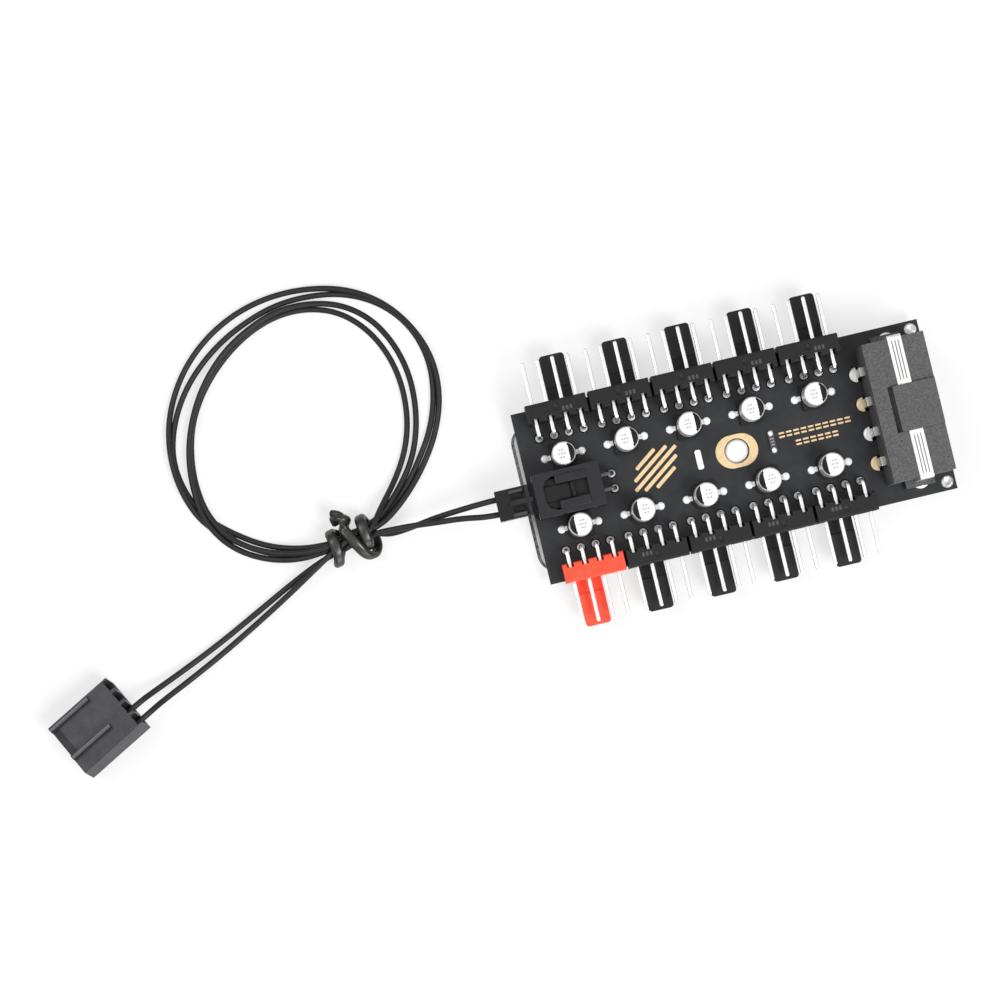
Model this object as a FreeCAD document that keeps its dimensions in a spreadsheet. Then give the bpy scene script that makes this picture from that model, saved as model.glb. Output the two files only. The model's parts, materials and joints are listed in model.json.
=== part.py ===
import FreeCAD, Part
import math
import os

import Sketcher
from FreeCAD import Placement, Rotation, Vector

# Ten-way fan hub: circuit board with ten fan headers, two power inlets and a coiled two-wire lead.
# Frame: origin on the table under the board's centre, +X along the board towards the power inlet,
# +Y across the board towards its back row of headers, +Z up. Millimetres.

SIZES = [
    # Circuit board and what it stands on
    ("board_length", 70.0),
    ("board_width", 29.2),
    ("board_thickness", 1.6),
    ("liner_thickness", 0.12),
    ("foam_thickness", 2.2),
    ("foam_setback", 1.05),
    ("foam_width", 25.0),
    ("foam_corner", 3.0),
    ("foam_overhang", 0.45),
    ("liner_margin", 0.55),
    ("tail_groove_depth", 1.6),
    ("tail_groove_width", 2.6),
    # Plated ring round the centre hole
    ("ring_place", 0.5),
    ("ring_length", 7.2),
    ("ring_width", 5.6),
    ("ring_bore", 4.2),
    ("plating", 0.1),
    # Fan headers
    ("header_spacing", 10.75),
    ("header_row_shift", -5.9),
    ("header_width", 10.3),
    ("header_height", 5.8),
    ("wafer_thickness", 3.2),
    ("wafer_bevel", 0.25),
    ("tooth_depth", 0.75),
    ("tooth_gap", 1.15),
    ("header_overhang", 0.5),
    ("tongue_length", 7.8),
    ("tongue_width", 4.25),
    ("tongue_thickness", 1.15),
    ("tongue_corner", 0.6),
    ("tongue_tip_slope", 0.25),
    ("latch_place", 2.25),
    ("latch_step", 0.35),
    ("dimple_diameter", 1.0),
    ("dimple_depth", 0.12),
    # Header pins
    ("pin_spacing", 2.54),
    ("pin_width", 0.64),
    ("pin_lift", 3.4),
    ("pin_reach", 7.3),
    ("pin_setback", 4.95),
    ("pin_tail", 1.2),
    ("pin_bend", 0.4),
    ("pin_taper", 0.16),
    ("pin_hole", 1.02),
    ("pin_pad", 1.7),
    ("joint_rise", 0.45),
    ("joint_rim", 0.08),
    # Electrolytic capacitors
    ("capacitor_shift", -0.55),
    ("capacitor_row", 6.05),
    ("can_diameter", 4.0),
    ("capacitor_height", 5.4),
    ("can_round", 0.4),
    ("bead_place", 1.15),
    ("bead_depth", 0.14),
    ("bead_width", 0.5),
    ("base_side", 4.3),
    ("base_height", 1.0),
    ("base_corner", 0.85),
    ("seat_depth", 0.3),
    ("terminal_span", 6.3),
    ("terminal_width", 0.65),
    ("terminal_thickness", 0.15),
    ("blob_diameter", 1.3),
    ("blob_height", 0.5),
    # Power inlet
    ("inlet_setback", 0.85),
    ("inlet_across", 0.15),
    ("inlet_depth", 10.5),
    ("inlet_width", 23.4),
    ("inlet_height", 9.9),
    ("inlet_rear_wall", 1.6),
    ("socket_width", 21.2),
    ("socket_height", 7.0),
    ("socket_bevel", 1.9),
    ("socket_lift", 1.5),
    ("block_width", 7.7),
    ("block_rise", 0.5),
    ("block_setback", 3.3),
    ("block_slope", 0.75),
    ("clip_channel_place", 4.4),
    ("clip_width", 2.35),
    ("clip_thickness", 0.45),
    ("clip_rib", 0.2),
    ("ear_place", 2.8),
    ("ear_length", 5.0),
    ("ear_reach", 1.3),
    ("ear_height", 1.6),
    ("clip_hole", 3.0),
    ("clip_tail", 0.8),
    ("peg_pad", 2.1),
    ("peg_place", 0.65),
    ("peg_across", 13.1),
    ("power_spacing", 5.08),
    ("power_pin", 2.1),
    ("power_tail_width", 1.4),
    ("power_collar", 1.75),
    ("power_collar_length", 0.6),
    ("power_pin_recess", 1.2),
    ("power_setback", 0.75),
    ("power_bend", 0.8),
    ("power_hole", 1.6),
    ("power_pad", 2.6),
    ("power_joint_rise", 0.7),
    # Shrouded two-pin inlet
    ("shroud_setback", 0.75),
    ("shroud_across", -0.1),
    ("shroud_length", 11.4),
    ("shroud_width", 7.45),
    ("shroud_height", 6.4),
    ("shroud_end_wall", 1.6),
    ("shroud_floor", 1.0),
    ("shroud_gap", 0.1),
    ("window_place", 1.6),
    ("window_wide_length", 2.15),
    ("window_wide", 5.6),
    ("window_round", 1.7),
    ("window_length", 7.4),
    ("window_narrow", 2.8),
    ("rail_height", 0.35),
    ("rail_width", 1.4),
    ("shroud_pin_length", 6.5),
    ("shroud_pad_setback", 2.0),
    # Cable plug in the shroud
    ("plug_length", 16.3),
    ("plug_width", 5.08),
    ("plug_height", 4.1),
    ("plug_cavity", 1.9),
    ("plug_latch_width", 2.6),
    ("plug_latch_rise", 0.55),
    ("plug_hook", 0.35),
    ("plug_hook_length", 0.55),
    ("plug_flange", 0.3),
    ("plug_recess_length", 2.3),
    ("plug_recess_width", 0.85),
    # Fan plug on the far end
    ("fan_plug_x", -107.9),
    ("fan_plug_y", -18.0),
    ("fan_plug_turn", 28.3),
    ("fan_plug_roll", 15.0),
    ("fan_plug_length", 12.7),
    ("fan_plug_thickness", 5.0),
    ("fan_plug_cavity", 1.9),
    ("fan_plug_mouth", 1.2),
    ("fan_plug_wall", 1.0),
    ("fan_rib_length", 8.3),
    ("fan_rib_width", 0.85),
    ("fan_rib_height", 0.8),
    ("fan_lead_in", 1.3),
    ("fan_lead_in_depth", 0.5),
    ("contact_length", 7.0),
    ("wire_entry", 2.0),
    # Chip parts
    ("resistor_place", 6.6),
    ("resistor_across", 0.1),
    ("resistor_length", 3.2),
    ("resistor_width", 1.1),
    ("resistor_height", 0.55),
    ("resistor_cap", 0.55),
    ("bar_place", -6.0),
    ("bar_length", 3.35),
    ("bar_width", 1.05),
    ("bar_height", 0.5),
    ("bar_corner", 0.35),
    # Wires, coil and twist tie
    ("wire_diameter", 1.0),
    ("coil_x", -69.4),
    ("coil_y", 20.8),
    ("coil_height", 2.0),
    ("bundle_diameter", 3.1),
    ("tie_x", -65.8),
    ("tie_y", 0.5),
    ("tie_turn", 12.7),
    ("tie_length", 9.2),
    ("tie_thickness", 1.3),
    ("tie_strip_width", 2.0),
    ("tie_clearance", 0.02),
    ("tie_lead", 2.75),
    ("tie_turns", 2.5),
    ("tie_end_diameter", 1.7),
]

HEADER_COUNT = 5
PIN_COUNT = 4
POWER_PIN_COUNT = 4
ALLOWED_CORD_ERROR = 0.02

doc = FreeCAD.newDocument("fan_hub")
sheet = doc.addObject("Spreadsheet::Sheet", "Sizes")
for row, (alias, number) in enumerate(SIZES, start=1):
    sheet.set("A%d" % row, alias)
    sheet.set("B%d" % row, str(number))
    sheet.setAlias("B%d" % row, alias)
doc.recompute()

parts = []


class Size:
    """A length that knows its number and the expression that drives it."""

    def __init__(self, value, text):
        self.value = value
        self.text = text

    @staticmethod
    def of(other):
        if isinstance(other, Size):
            return other
        return Size(float(other), repr(float(other)))

    def joined(self, other, sign, value):
        return Size(value, "(%s %s %s)" % (self.text, sign, Size.of(other).text))

    def __add__(self, other):
        return self.joined(other, "+", self.value + Size.of(other).value)

    def __sub__(self, other):
        return self.joined(other, "-", self.value - Size.of(other).value)

    def __mul__(self, other):
        return self.joined(other, "*", self.value * Size.of(other).value)

    def __truediv__(self, other):
        return self.joined(other, "/", self.value / Size.of(other).value)

    def __radd__(self, other):
        return Size.of(other) + self

    def __rsub__(self, other):
        return Size.of(other) - self

    def __rmul__(self, other):
        return Size.of(other) * self

    def __neg__(self):
        return Size.of(0) - self


def size(alias):
    """The size in the sheet's cell of that name."""
    return Size(float(sheet.get(alias)), "Sizes." + alias)


def drive(thing, target, length):
    """Bind one property or constraint to a size."""
    thing.setExpression(target, Size.of(length).text)


def place(thing, x, y, z, turn=0.0):
    """Stand an object at a driven place, turned about +Z by that many degrees."""
    spot = [Size.of(n) for n in (x, y, z)]
    thing.Placement = Placement(Vector(*[n.value for n in spot]), Rotation(Vector(0, 0, 1), turn))
    for axis, n in zip("xyz", spot):
        drive(thing, "Placement.Base." + axis, n)


def keep(thing, label):
    """Name an object as one sub-part, which is written to a file of that name."""
    thing.Label = label
    parts.append(thing)
    return thing


# Sketching helpers


def sketch_on(body, role, offset, name):
    """A sketch on one of the body's own planes, moved along the plane's normal."""
    plane = [feature for feature in body.Origin.OriginFeatures if feature.Role == role][0]
    sketch = body.newObject("Sketcher::SketchObject", name)
    sketch.AttachmentSupport = [(plane, "")]
    sketch.MapMode = "FlatFace"
    sketch.AttachmentOffset.Base.z = Size.of(offset).value
    drive(sketch, "AttachmentOffset.Base.z", offset)
    return sketch


def pin_point(sketch, element, vertex, x, y):
    """Hold a sketch point at a driven distance from the sketch's origin."""
    for kind, n in (("DistanceX", x), ("DistanceY", y)):
        index = sketch.addConstraint(Sketcher.Constraint(kind, -1, 1, element, vertex, Size.of(n).value))
        drive(sketch, "Constraints[%d]" % index, n)


def polygon(sketch, points):
    """A closed outline of straight lines through driven points."""
    spots = [(Size.of(x), Size.of(y)) for x, y in points]
    flat = [Vector(x.value, y.value, 0) for x, y in spots]
    lines = [
        sketch.addGeometry(Part.LineSegment(start, end), False)
        for start, end in zip(flat, flat[1:] + flat[:1])
    ]
    for line, following, (x, y) in zip(lines, lines[1:] + lines[:1], spots):
        sketch.addConstraint(Sketcher.Constraint("Coincident", line, 2, following, 1))
        pin_point(sketch, line, 1, x, y)


def rectangle(sketch, x0, y0, x1, y1):
    """A driven rectangle between two corners."""
    polygon(sketch, [(x0, y0), (x1, y0), (x1, y1), (x0, y1)])


def circle(sketch, x, y, diameter):
    """A driven circle."""
    x, y, diameter = (Size.of(n) for n in (x, y, diameter))
    round_edge = Part.Circle(Vector(x.value, y.value, 0), Vector(0, 0, 1), diameter.value / 2)
    index = sketch.addGeometry(round_edge, False)
    pin_point(sketch, index, 3, x, y)
    at = sketch.addConstraint(Sketcher.Constraint("Diameter", index, diameter.value))
    drive(sketch, "Constraints[%d]" % at, diameter)


# Solid features


def new_body(label, several=False):
    """An empty body that is kept as one sub-part."""
    body = doc.addObject("PartDesign::Body", label)
    body.AllowCompound = several
    return keep(body, label)


def extrude(kind, body, name, role, offset, draw, length, backwards):
    sketch = sketch_on(body, role, offset, name + "_outline")
    draw(sketch)
    feature = body.newObject(kind, name)
    feature.Profile = sketch
    feature.Length = Size.of(length).value
    feature.Reversed = backwards
    drive(feature, "Length", length)
    sketch.Visibility = False
    return feature


def pad(body, name, role, offset, draw, length, backwards=False):
    """Raise an outline along its plane's normal, or the other way."""
    feature = extrude("PartDesign::Pad", body, name, role, offset, draw, length, backwards)
    doc.recompute()
    return feature


def pocket(body, name, role, offset, draw, length, backwards=False):
    """Cut an outline against its plane's normal, or along it, and make sure that it cuts."""
    before = body.Shape.Volume
    feature = extrude("PartDesign::Pocket", body, name, role, offset, draw, length, backwards)
    doc.recompute()
    if body.Shape.Volume >= before - 1e-6:
        raise ValueError("%s of %s cuts nothing" % (name, body.Label))
    return feature


def edge_names(shape, chosen):
    """The names of the edges for which the test holds."""
    return ["Edge%d" % n for n, edge in enumerate(shape.Edges, start=1) if chosen(edge)]


def runs_along(edge, direction):
    """Whether a straight edge runs along a direction."""
    if edge.Curve.TypeId != "Part::GeomLine":
        return False
    return abs(abs(edge.Curve.Direction.dot(direction)) - 1) < 1e-6


def round_edges(body, name, radius, chosen, kind="PartDesign::Fillet", target="Radius"):
    """Round or bevel the edges of the body's last feature for which the test holds."""
    base = body.Tip
    feature = body.newObject(kind, name)
    feature.Base = (base, edge_names(base.Shape, chosen))
    setattr(feature, target, Size.of(radius).value)
    drive(feature, target, radius)
    doc.recompute()
    return feature


def bevel_edges(body, name, distance, chosen):
    return round_edges(body, name, distance, chosen, "PartDesign::Chamfer", "Size")


def revolve(body, name, draw):
    """Turn an outline in the XZ plane right round the body's Z axis."""
    sketch = sketch_on(body, "XZ_Plane", 0, name + "_outline")
    draw(sketch)
    axis = [feature for feature in body.Origin.OriginFeatures if feature.Role == "Z_Axis"][0]
    feature = body.newObject("PartDesign::Revolution", name)
    feature.Profile = sketch
    feature.ReferenceAxis = (axis, [""])
    feature.Angle = 360.0
    doc.recompute()
    return feature


# Places shared by several pieces

board_bottom = size("liner_thickness") + size("foam_thickness")
board_top = board_bottom + size("board_thickness")
board_left = -size("board_length") / 2
board_right = size("board_length") / 2
header_face = size("board_width") / 2 + size("header_overhang")
header_steps = [n - (HEADER_COUNT - 1) / 2 for n in range(HEADER_COUNT)]
header_places = [size("header_row_shift") + size("header_spacing") * step for step in header_steps]
pin_offsets = [size("pin_spacing") * (n - (PIN_COUNT - 1) / 2) for n in range(PIN_COUNT)]
pin_hole_row = size("board_width") / 2 - size("pin_setback")
capacitor_places = [x + size("capacitor_shift") for x in header_places]
power_offsets = [size("power_spacing") * (n - (POWER_PIN_COUNT - 1) / 2) for n in range(POWER_PIN_COUNT)]
inlet_mouth = board_right - size("inlet_setback")
inlet_rear = inlet_mouth - size("inlet_depth")
power_hole_column = inlet_rear - size("power_setback")
clip_column = inlet_rear + size("clip_channel_place") + size("clip_width") / 2
clip_outside = size("inlet_width") / 2 + size("clip_thickness")
clip_hole_row = size("inlet_width") / 2 + size("clip_thickness") / 2
peg_column = inlet_mouth - size("peg_place")
shroud_mouth = board_left + size("shroud_setback")
shroud_rear = shroud_mouth + size("shroud_length")
shroud_hole_column = shroud_rear + size("shroud_pad_setback")
shroud_pin_rows = [size("shroud_across") + size("pin_spacing") * side / 2 for side in (-1, 1)]
shroud_pin_lift = size("shroud_floor") + size("shroud_gap") + size("plug_height") / 2

# Board, plated ring, foam and liner


def make_board():
    board = new_body("circuit_board")

    def edge(sketch):
        half = size("board_width") / 2
        rectangle(sketch, board_left, -half, board_right, half)

    def bores(sketch):
        for side in (-1, 1):
            for x in header_places:
                for offset in pin_offsets:
                    circle(sketch, x + offset, pin_hole_row * side, size("pin_hole"))
        for y in shroud_pin_rows:
            circle(sketch, shroud_hole_column, y, size("pin_hole"))
        for offset in power_offsets:
            circle(sketch, power_hole_column, size("inlet_across") + offset, size("power_hole"))
        for side in (-1, 1):
            circle(sketch, clip_column, size("inlet_across") + clip_hole_row * side, size("clip_hole"))
            circle(sketch, peg_column, size("peg_across") * side, size("peg_pad"))
        circle(sketch, size("ring_place"), 0, size("ring_bore"))

    pad(board, "sheet", "XY_Plane", 0, edge, size("board_thickness"))
    pocket(board, "bores", "XY_Plane", size("board_thickness"), bores, size("board_thickness"))
    place(board, 0, 0, board_bottom)


def make_plated_ring():
    ring = new_body("plated_ring")
    shift = (size("ring_length") - size("ring_width")) / 2

    def middle(sketch):
        reach = size("ring_width") / 2
        rectangle(sketch, -shift, -reach, shift, reach)

    def end(side):
        return lambda sketch: circle(sketch, shift * side, 0, size("ring_width"))

    def hole(sketch):
        circle(sketch, 0, 0, size("ring_bore"))

    pad(ring, "middle", "XY_Plane", 0, middle, size("plating"))
    pad(ring, "left_end", "XY_Plane", 0, end(-1), size("plating"))
    pad(ring, "right_end", "XY_Plane", 0, end(1), size("plating"))
    pocket(ring, "hole", "XY_Plane", size("plating"), hole, size("plating"))
    place(ring, size("ring_place"), 0, board_top)


def make_pad_layers():
    left = board_left - size("foam_overhang")
    right = board_right - size("foam_setback")
    half_width = size("foam_width") / 2

    def plain(extra):
        return lambda sketch: rectangle(sketch, left - extra, -half_width, right + extra, half_width)

    def corner(edge):
        return runs_along(edge, Vector(0, 0, 1))

    half_groove = size("tail_groove_width") / 2

    def row_grooves(sketch):
        reach = size("header_spacing") * HEADER_COUNT / 2
        row_middle = size("header_row_shift")
        for side in (-1, 1):
            y = pin_hole_row * side
            rectangle(sketch, row_middle - reach, y - half_groove, row_middle + reach, y + half_groove)

    def power_groove(sketch):
        reach = size("power_spacing") * POWER_PIN_COUNT / 2
        across = size("inlet_across")
        column = power_hole_column
        rectangle(sketch, column - half_groove, across - reach, column + half_groove, across + reach)

    def inlet_groove(sketch):
        reach = size("pin_spacing") / 2 + half_groove
        across = size("shroud_across")
        column = shroud_hole_column
        rectangle(sketch, column - half_groove, across - reach, column + half_groove, across + reach)

    def clip_notches(sketch):
        for side in (-1, 1):
            start = (clip_hole_row - size("clip_hole")) * side
            end = (half_width + size("plating")) * side
            rectangle(sketch, clip_column - half_groove, start, clip_column + half_groove, end)

    liner = new_body("release_liner")
    pad(liner, "sheet", "XY_Plane", 0, plain(size("liner_margin")), size("liner_thickness"))
    round_edges(liner, "corners", size("foam_corner"), corner)
    place(liner, 0, 0, 0)
    foam = new_body("foam_pad")
    pad(foam, "layer", "XY_Plane", 0, plain(Size.of(0)), size("foam_thickness"))
    round_edges(foam, "corners", size("foam_corner"), corner)
    for name, draw in (
        ("row_grooves", row_grooves),
        ("power_groove", power_groove),
        ("inlet_groove", inlet_groove),
        ("clip_notches", clip_notches),
    ):
        pocket(foam, name, "XY_Plane", size("foam_thickness"), draw, size("tail_groove_depth"))
    place(foam, 0, 0, size("liner_thickness"))


# Fan headers and their pins


def make_fan_header(label, x, y, turn):
    """Right-angle header: a comb-backed wafer with a locking tongue under its pins."""
    header = new_body(label)
    half = size("header_width") / 2
    top = size("header_height")
    back = -size("wafer_thickness")
    slot_end = back + size("tooth_depth")
    bevel = size("wafer_bevel")
    tongue_side = size("pin_spacing") / 2
    tongue_top = size("tongue_thickness")

    def wafer(sketch):
        upper = [(0, top - bevel), (-bevel, top), (back + bevel, top), (back, top - bevel)]
        polygon(sketch, [(back, 0), (0, 0)] + upper)

    def comb(sketch):
        for offset in pin_offsets:
            gap = size("tooth_gap") / 2
            rectangle(sketch, offset - gap, back - bevel, offset + gap, slot_end)

    def bores(sketch):
        for offset in pin_offsets:
            reach = size("pin_width") / 2
            lift = size("pin_lift")
            rectangle(sketch, offset - reach, lift - reach, offset + reach, lift + reach)

    def tongue(sketch):
        step = size("latch_place")
        low = tongue_top - size("latch_step")
        tip = size("tongue_length")
        slope = size("tongue_tip_slope")
        upper = [(tip, tongue_top - slope), (step, tongue_top), (step, low), (0, low)]
        polygon(sketch, [(0, 0), (tip, 0)] + upper)

    def dimple(sketch):
        circle(sketch, 0, back * 0.4, size("dimple_diameter"))

    pad(header, "wafer", "YZ_Plane", -half, wafer, size("header_width"))
    pocket(header, "comb", "XY_Plane", top, comb, top)
    pocket(header, "bores", "XZ_Plane", 0, bores, size("wafer_thickness"), backwards=True)
    pocket(header, "dimple", "XY_Plane", top, dimple, size("dimple_depth"))
    start = tongue_side - size("tongue_width") / 2
    pad(header, "tongue", "YZ_Plane", start, tongue, size("tongue_width"))
    tip = size("tongue_length").value
    round_edges(
        header,
        "tongue_corners",
        size("tongue_corner"),
        lambda edge: runs_along(edge, Vector(0, 0, 1)) and abs(edge.BoundBox.YMin - tip) < 1e-6,
    )
    place(header, x, y, board_top, turn)


def near(first, second):
    return abs(first - second) < 1e-4


def make_pins(label, count, spacing, tip, back, lift, x, y, turn):
    """A row of bent square pins with tapered points, as separate solids."""
    pins = new_body(label, several=True)
    half = size("pin_width") / 2
    bend = size("pin_bend")
    tail = size("board_thickness") + size("pin_tail")
    start = -spacing * (count - 1) / 2 - half

    def side(sketch):
        top, under = lift + half, lift - half
        outside, inside = back - half, back + half
        polygon(
            sketch,
            [(tip, under), (tip, top), (outside, top), (outside, -tail), (inside, -tail), (inside, under)],
        )

    def bend_edge(y_side, z_side):
        y_edge, z_edge = (back + half * y_side).value, (lift + half * z_side).value

        def chosen(edge):
            box = edge.BoundBox
            return runs_along(edge, Vector(1, 0, 0)) and near(box.YMin, y_edge) and near(box.ZMin, z_edge)

        return chosen

    def at_tip(edge):
        return near(edge.BoundBox.YMin, tip.value) and near(edge.BoundBox.YMax, tip.value)

    pad(pins, "pin", "YZ_Plane", start, side, size("pin_width"))
    round_edges(pins, "outer_bend", bend + size("pin_width"), bend_edge(-1, 1))
    round_edges(pins, "inner_bend", bend, bend_edge(1, -1))
    bevel_edges(pins, "point", size("pin_taper"), at_tip)
    row = pins.newObject("PartDesign::LinearPattern", "row")
    row.TransformMode = "Whole shape"
    row.Direction = ([f for f in pins.Origin.OriginFeatures if f.Role == "X_Axis"][0], [""])
    row.Length = (spacing * (count - 1)).value
    row.Occurrences = count
    drive(row, "Length", spacing * (count - 1))
    pins.Tip = row
    doc.recompute()
    if len(pins.Shape.Solids) != count:
        raise ValueError("%s has %d pins" % (label, len(pins.Shape.Solids)))
    place(pins, x, y, board_top, turn)
    return pins


def make_fan_headers():
    back = -(size("pin_setback") + size("header_overhang"))
    rows = [(header_face * -1, 180.0), (header_face, 0.0)]
    number = 1
    for y, turn in rows:
        for x in header_places:
            make_fan_header("fan_header_%d" % number, x, y, turn)
            make_pins(
                "header_pins_%d" % number,
                PIN_COUNT,
                size("pin_spacing"),
                size("pin_reach"),
                back,
                size("pin_lift"),
                x,
                y,
                turn,
            )
            number += 1


# Capacitors


def make_capacitor_can(label, x, y):
    """Aluminium can with its rolled bead near the bottom and a rounded rim."""
    can = new_body(label)
    radius = size("can_diameter") / 2
    floor = size("base_height") - size("seat_depth")
    height = size("capacitor_height") - floor
    bead = size("bead_place")
    half_bead = size("bead_width") / 2

    def section(sketch):
        polygon(
            sketch,
            [
                (0, 0),
                (radius, 0),
                (radius, bead - half_bead),
                (radius - size("bead_depth"), bead),
                (radius, bead + half_bead),
                (radius, height),
                (0, height),
            ],
        )

    revolve(can, "can", section)
    rim = height.value

    def on_rim(edge):
        return near(edge.BoundBox.ZMin, rim) and near(edge.BoundBox.ZMax, rim)

    round_edges(can, "rim", size("can_round"), on_rim)
    place(can, x, y, board_top + floor)


def make_capacitor_bases(label, side):
    """Moulded bases of one row: a square plate with two cut corners and a round seat."""
    bases = new_body(label, several=True)
    half = size("base_side") / 2
    cut = size("base_corner")
    y = size("capacitor_row") * side

    def plates(sketch):
        for x in capacitor_places:
            polygon(
                sketch,
                [
                    (x - half * side, y - half),
                    (x - half * side, y + half),
                    (x + (half - cut) * side, y + half),
                    (x + half * side, y + half - cut),
                    (x + half * side, y - half + cut),
                    (x + (half - cut) * side, y - half),
                ],
            )

    def seats(sketch):
        for x in capacitor_places:
            circle(sketch, x, y, size("can_diameter"))

    def channels(sketch):
        for x in capacitor_places:
            reach = size("terminal_width") / 2
            rectangle(sketch, x - half * 1.5, y - reach, x + half * 1.5, y + reach)

    pad(bases, "plates", "XY_Plane", 0, plates, size("base_height"))
    pocket(bases, "seats", "XY_Plane", size("base_height"), seats, size("seat_depth"))
    pocket(bases, "channels", "XY_Plane", 0, channels, size("terminal_thickness"), backwards=True)
    place(bases, 0, 0, board_top)


def make_capacitor_terminals():
    """Flat leads that come out of each base on both sides."""
    leads = new_body("capacitor_terminals", several=True)

    def strips(sketch):
        gap = size("terminal_width")
        reach = size("terminal_span") / 2
        half = size("terminal_width") / 2
        for side in (-1, 1):
            y = size("capacitor_row") * side
            for x in capacitor_places:
                rectangle(sketch, x - reach, y - half, x - gap, y + half)
                rectangle(sketch, x + gap, y - half, x + reach, y + half)

    pad(leads, "strips", "XY_Plane", 0, strips, size("terminal_thickness"))
    place(leads, 0, 0, board_top)


def make_capacitors():
    number = 1
    for side in (-1, 1):
        for x in capacitor_places:
            make_capacitor_can("capacitor_can_%d" % number, x, size("capacitor_row") * side)
            number += 1
    make_capacitor_bases("capacitor_bases_front", -1)
    make_capacitor_bases("capacitor_bases_back", 1)
    make_capacitor_terminals()


# Power inlet


def make_power_inlet():
    """D-shaped shroud with its raised block, clip channels, ears and pin bores."""
    inlet = new_body("power_inlet")
    half = size("inlet_width") / 2
    depth = size("inlet_depth")
    top = size("inlet_height")
    channel = size("clip_channel_place")
    ear_side = size("ear_place")

    def shell(sketch):
        rectangle(sketch, 0, -half, depth, half)

    def ears(sketch):
        reach = half + size("ear_reach")
        rectangle(sketch, ear_side, -reach, ear_side + size("ear_length"), reach)

    def block(sketch):
        start = size("block_setback")
        rise = top + size("block_rise")
        polygon(sketch, [(start - size("block_slope"), top), (depth, top), (depth, rise), (start, rise)])

    def socket(sketch):
        side = size("socket_width") / 2
        low = size("socket_lift")
        high = low + size("socket_height")
        cut = size("socket_bevel")
        points = [(-side, low), (side, low), (side, high - cut)]
        points += [(side - cut, high), (cut - side, high), (-side, high - cut)]
        polygon(sketch, points)

    def pin_bores(sketch):
        for offset in power_offsets:
            circle(sketch, offset, size("socket_lift") + size("socket_height") / 2, size("power_pin"))

    def channels(sketch):
        for side in (-1, 1):
            inner = (size("block_width") / 2) * side
            outer = (half + size("ear_reach")) * side
            rectangle(sketch, channel, inner, channel + size("clip_width"), outer)

    def leg_slots(sketch):
        for side in (-1, 1):
            start = half * side
            rectangle(sketch, channel, start, channel + size("clip_width"), clip_outside * side)

    pad(inlet, "shell", "XY_Plane", 0, shell, top)
    pad(inlet, "ears", "XY_Plane", 0, ears, size("ear_height"))
    pad(inlet, "block", "XZ_Plane", -size("block_width") / 2, block, size("block_width"))
    pocket(inlet, "socket", "YZ_Plane", depth, socket, depth - size("inlet_rear_wall"))
    pocket(inlet, "pin_bores", "YZ_Plane", depth, pin_bores, depth)
    pocket(inlet, "channels", "XY_Plane", top, channels, size("clip_thickness"))
    pocket(inlet, "leg_slots", "XY_Plane", top, leg_slots, top)
    place(inlet, inlet_rear, size("inlet_across"), board_top)


def make_clips():
    """Two sheet-metal clips that hold the power inlet down: a ribbed strap and a leg through the board."""
    clips = new_body("hold_down_clips", several=True)
    channel = size("clip_channel_place")
    top = size("inlet_height")
    thick = size("clip_thickness")
    tail = size("board_thickness") + size("clip_tail")
    inner = size("block_width") / 2
    rib = size("clip_rib")
    width = size("clip_width")

    def strap(side):
        outer = clip_outside * side
        inside = (clip_outside - thick) * side
        corners = [(inner * side, top - thick), (inside, top - thick), (inside, -tail)]
        corners += [(outer, -tail), (outer, top), (inner * side, top)]
        return lambda sketch: polygon(sketch, corners)

    def bend(edge):
        box = edge.BoundBox
        outer_edge = near(abs(box.YMin), clip_outside.value) and near(box.ZMin, top.value)
        return outer_edge and runs_along(edge, Vector(1, 0, 0))

    def ribs(sketch):
        for side in (-1, 1):
            for place_across in (0.28, 0.72):
                middle = channel + width * place_across
                start, end = (inner + thick) * side, (clip_outside - thick * 2) * side
                rectangle(sketch, middle - rib / 2, start, middle + rib / 2, end)

    pad(clips, "near_strap", "YZ_Plane", channel, strap(-1), width)
    pad(clips, "far_strap", "YZ_Plane", channel, strap(1), width)
    round_edges(clips, "bends", thick, bend)
    pocket(clips, "ribs", "XY_Plane", top, ribs, rib / 2)
    place(clips, inlet_rear, size("inlet_across"), board_top)


def bent_round_pin(straight, root, offset, lift, drop, bend, thin):
    """A round pin's thinner back end: it starts inside the pin, runs back along X and bends down."""
    corners = [Vector(root, offset, lift), Vector(-straight, offset, lift), Vector(-straight, offset, -drop)]
    section = Part.Wire(Part.makeCircle(thin / 2, corners[0], Vector(1, 0, 0)))
    return tangent_path(corners, bend).makePipeShell([section], True, False)


def tangent_path(points, radius=None):
    """Straight runs through the points, joined by tangent arcs as large as the runs allow."""
    edges, start = [], points[0]
    for before, here, after in zip(points, points[1:], points[2:]):
        back, ahead = before - here, after - here
        half_turn = (math.pi - back.getAngle(ahead)) / 2
        bend = radius or 0.45 * min(back.Length, ahead.Length) / math.tan(half_turn)
        trim = bend * math.tan(half_turn)
        back.normalize()
        ahead.normalize()
        first, last = here + back * trim, here + ahead * trim
        inward = (back + ahead).normalize()
        middle = here + inward * (bend / math.cos(half_turn) - bend)
        edges.append(Part.LineSegment(start, first).toShape())
        edges.append(Part.Arc(first, middle, last).toShape())
        start = last
    edges.append(Part.LineSegment(start, points[-1]).toShape())
    return Part.Wire(edges)


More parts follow.
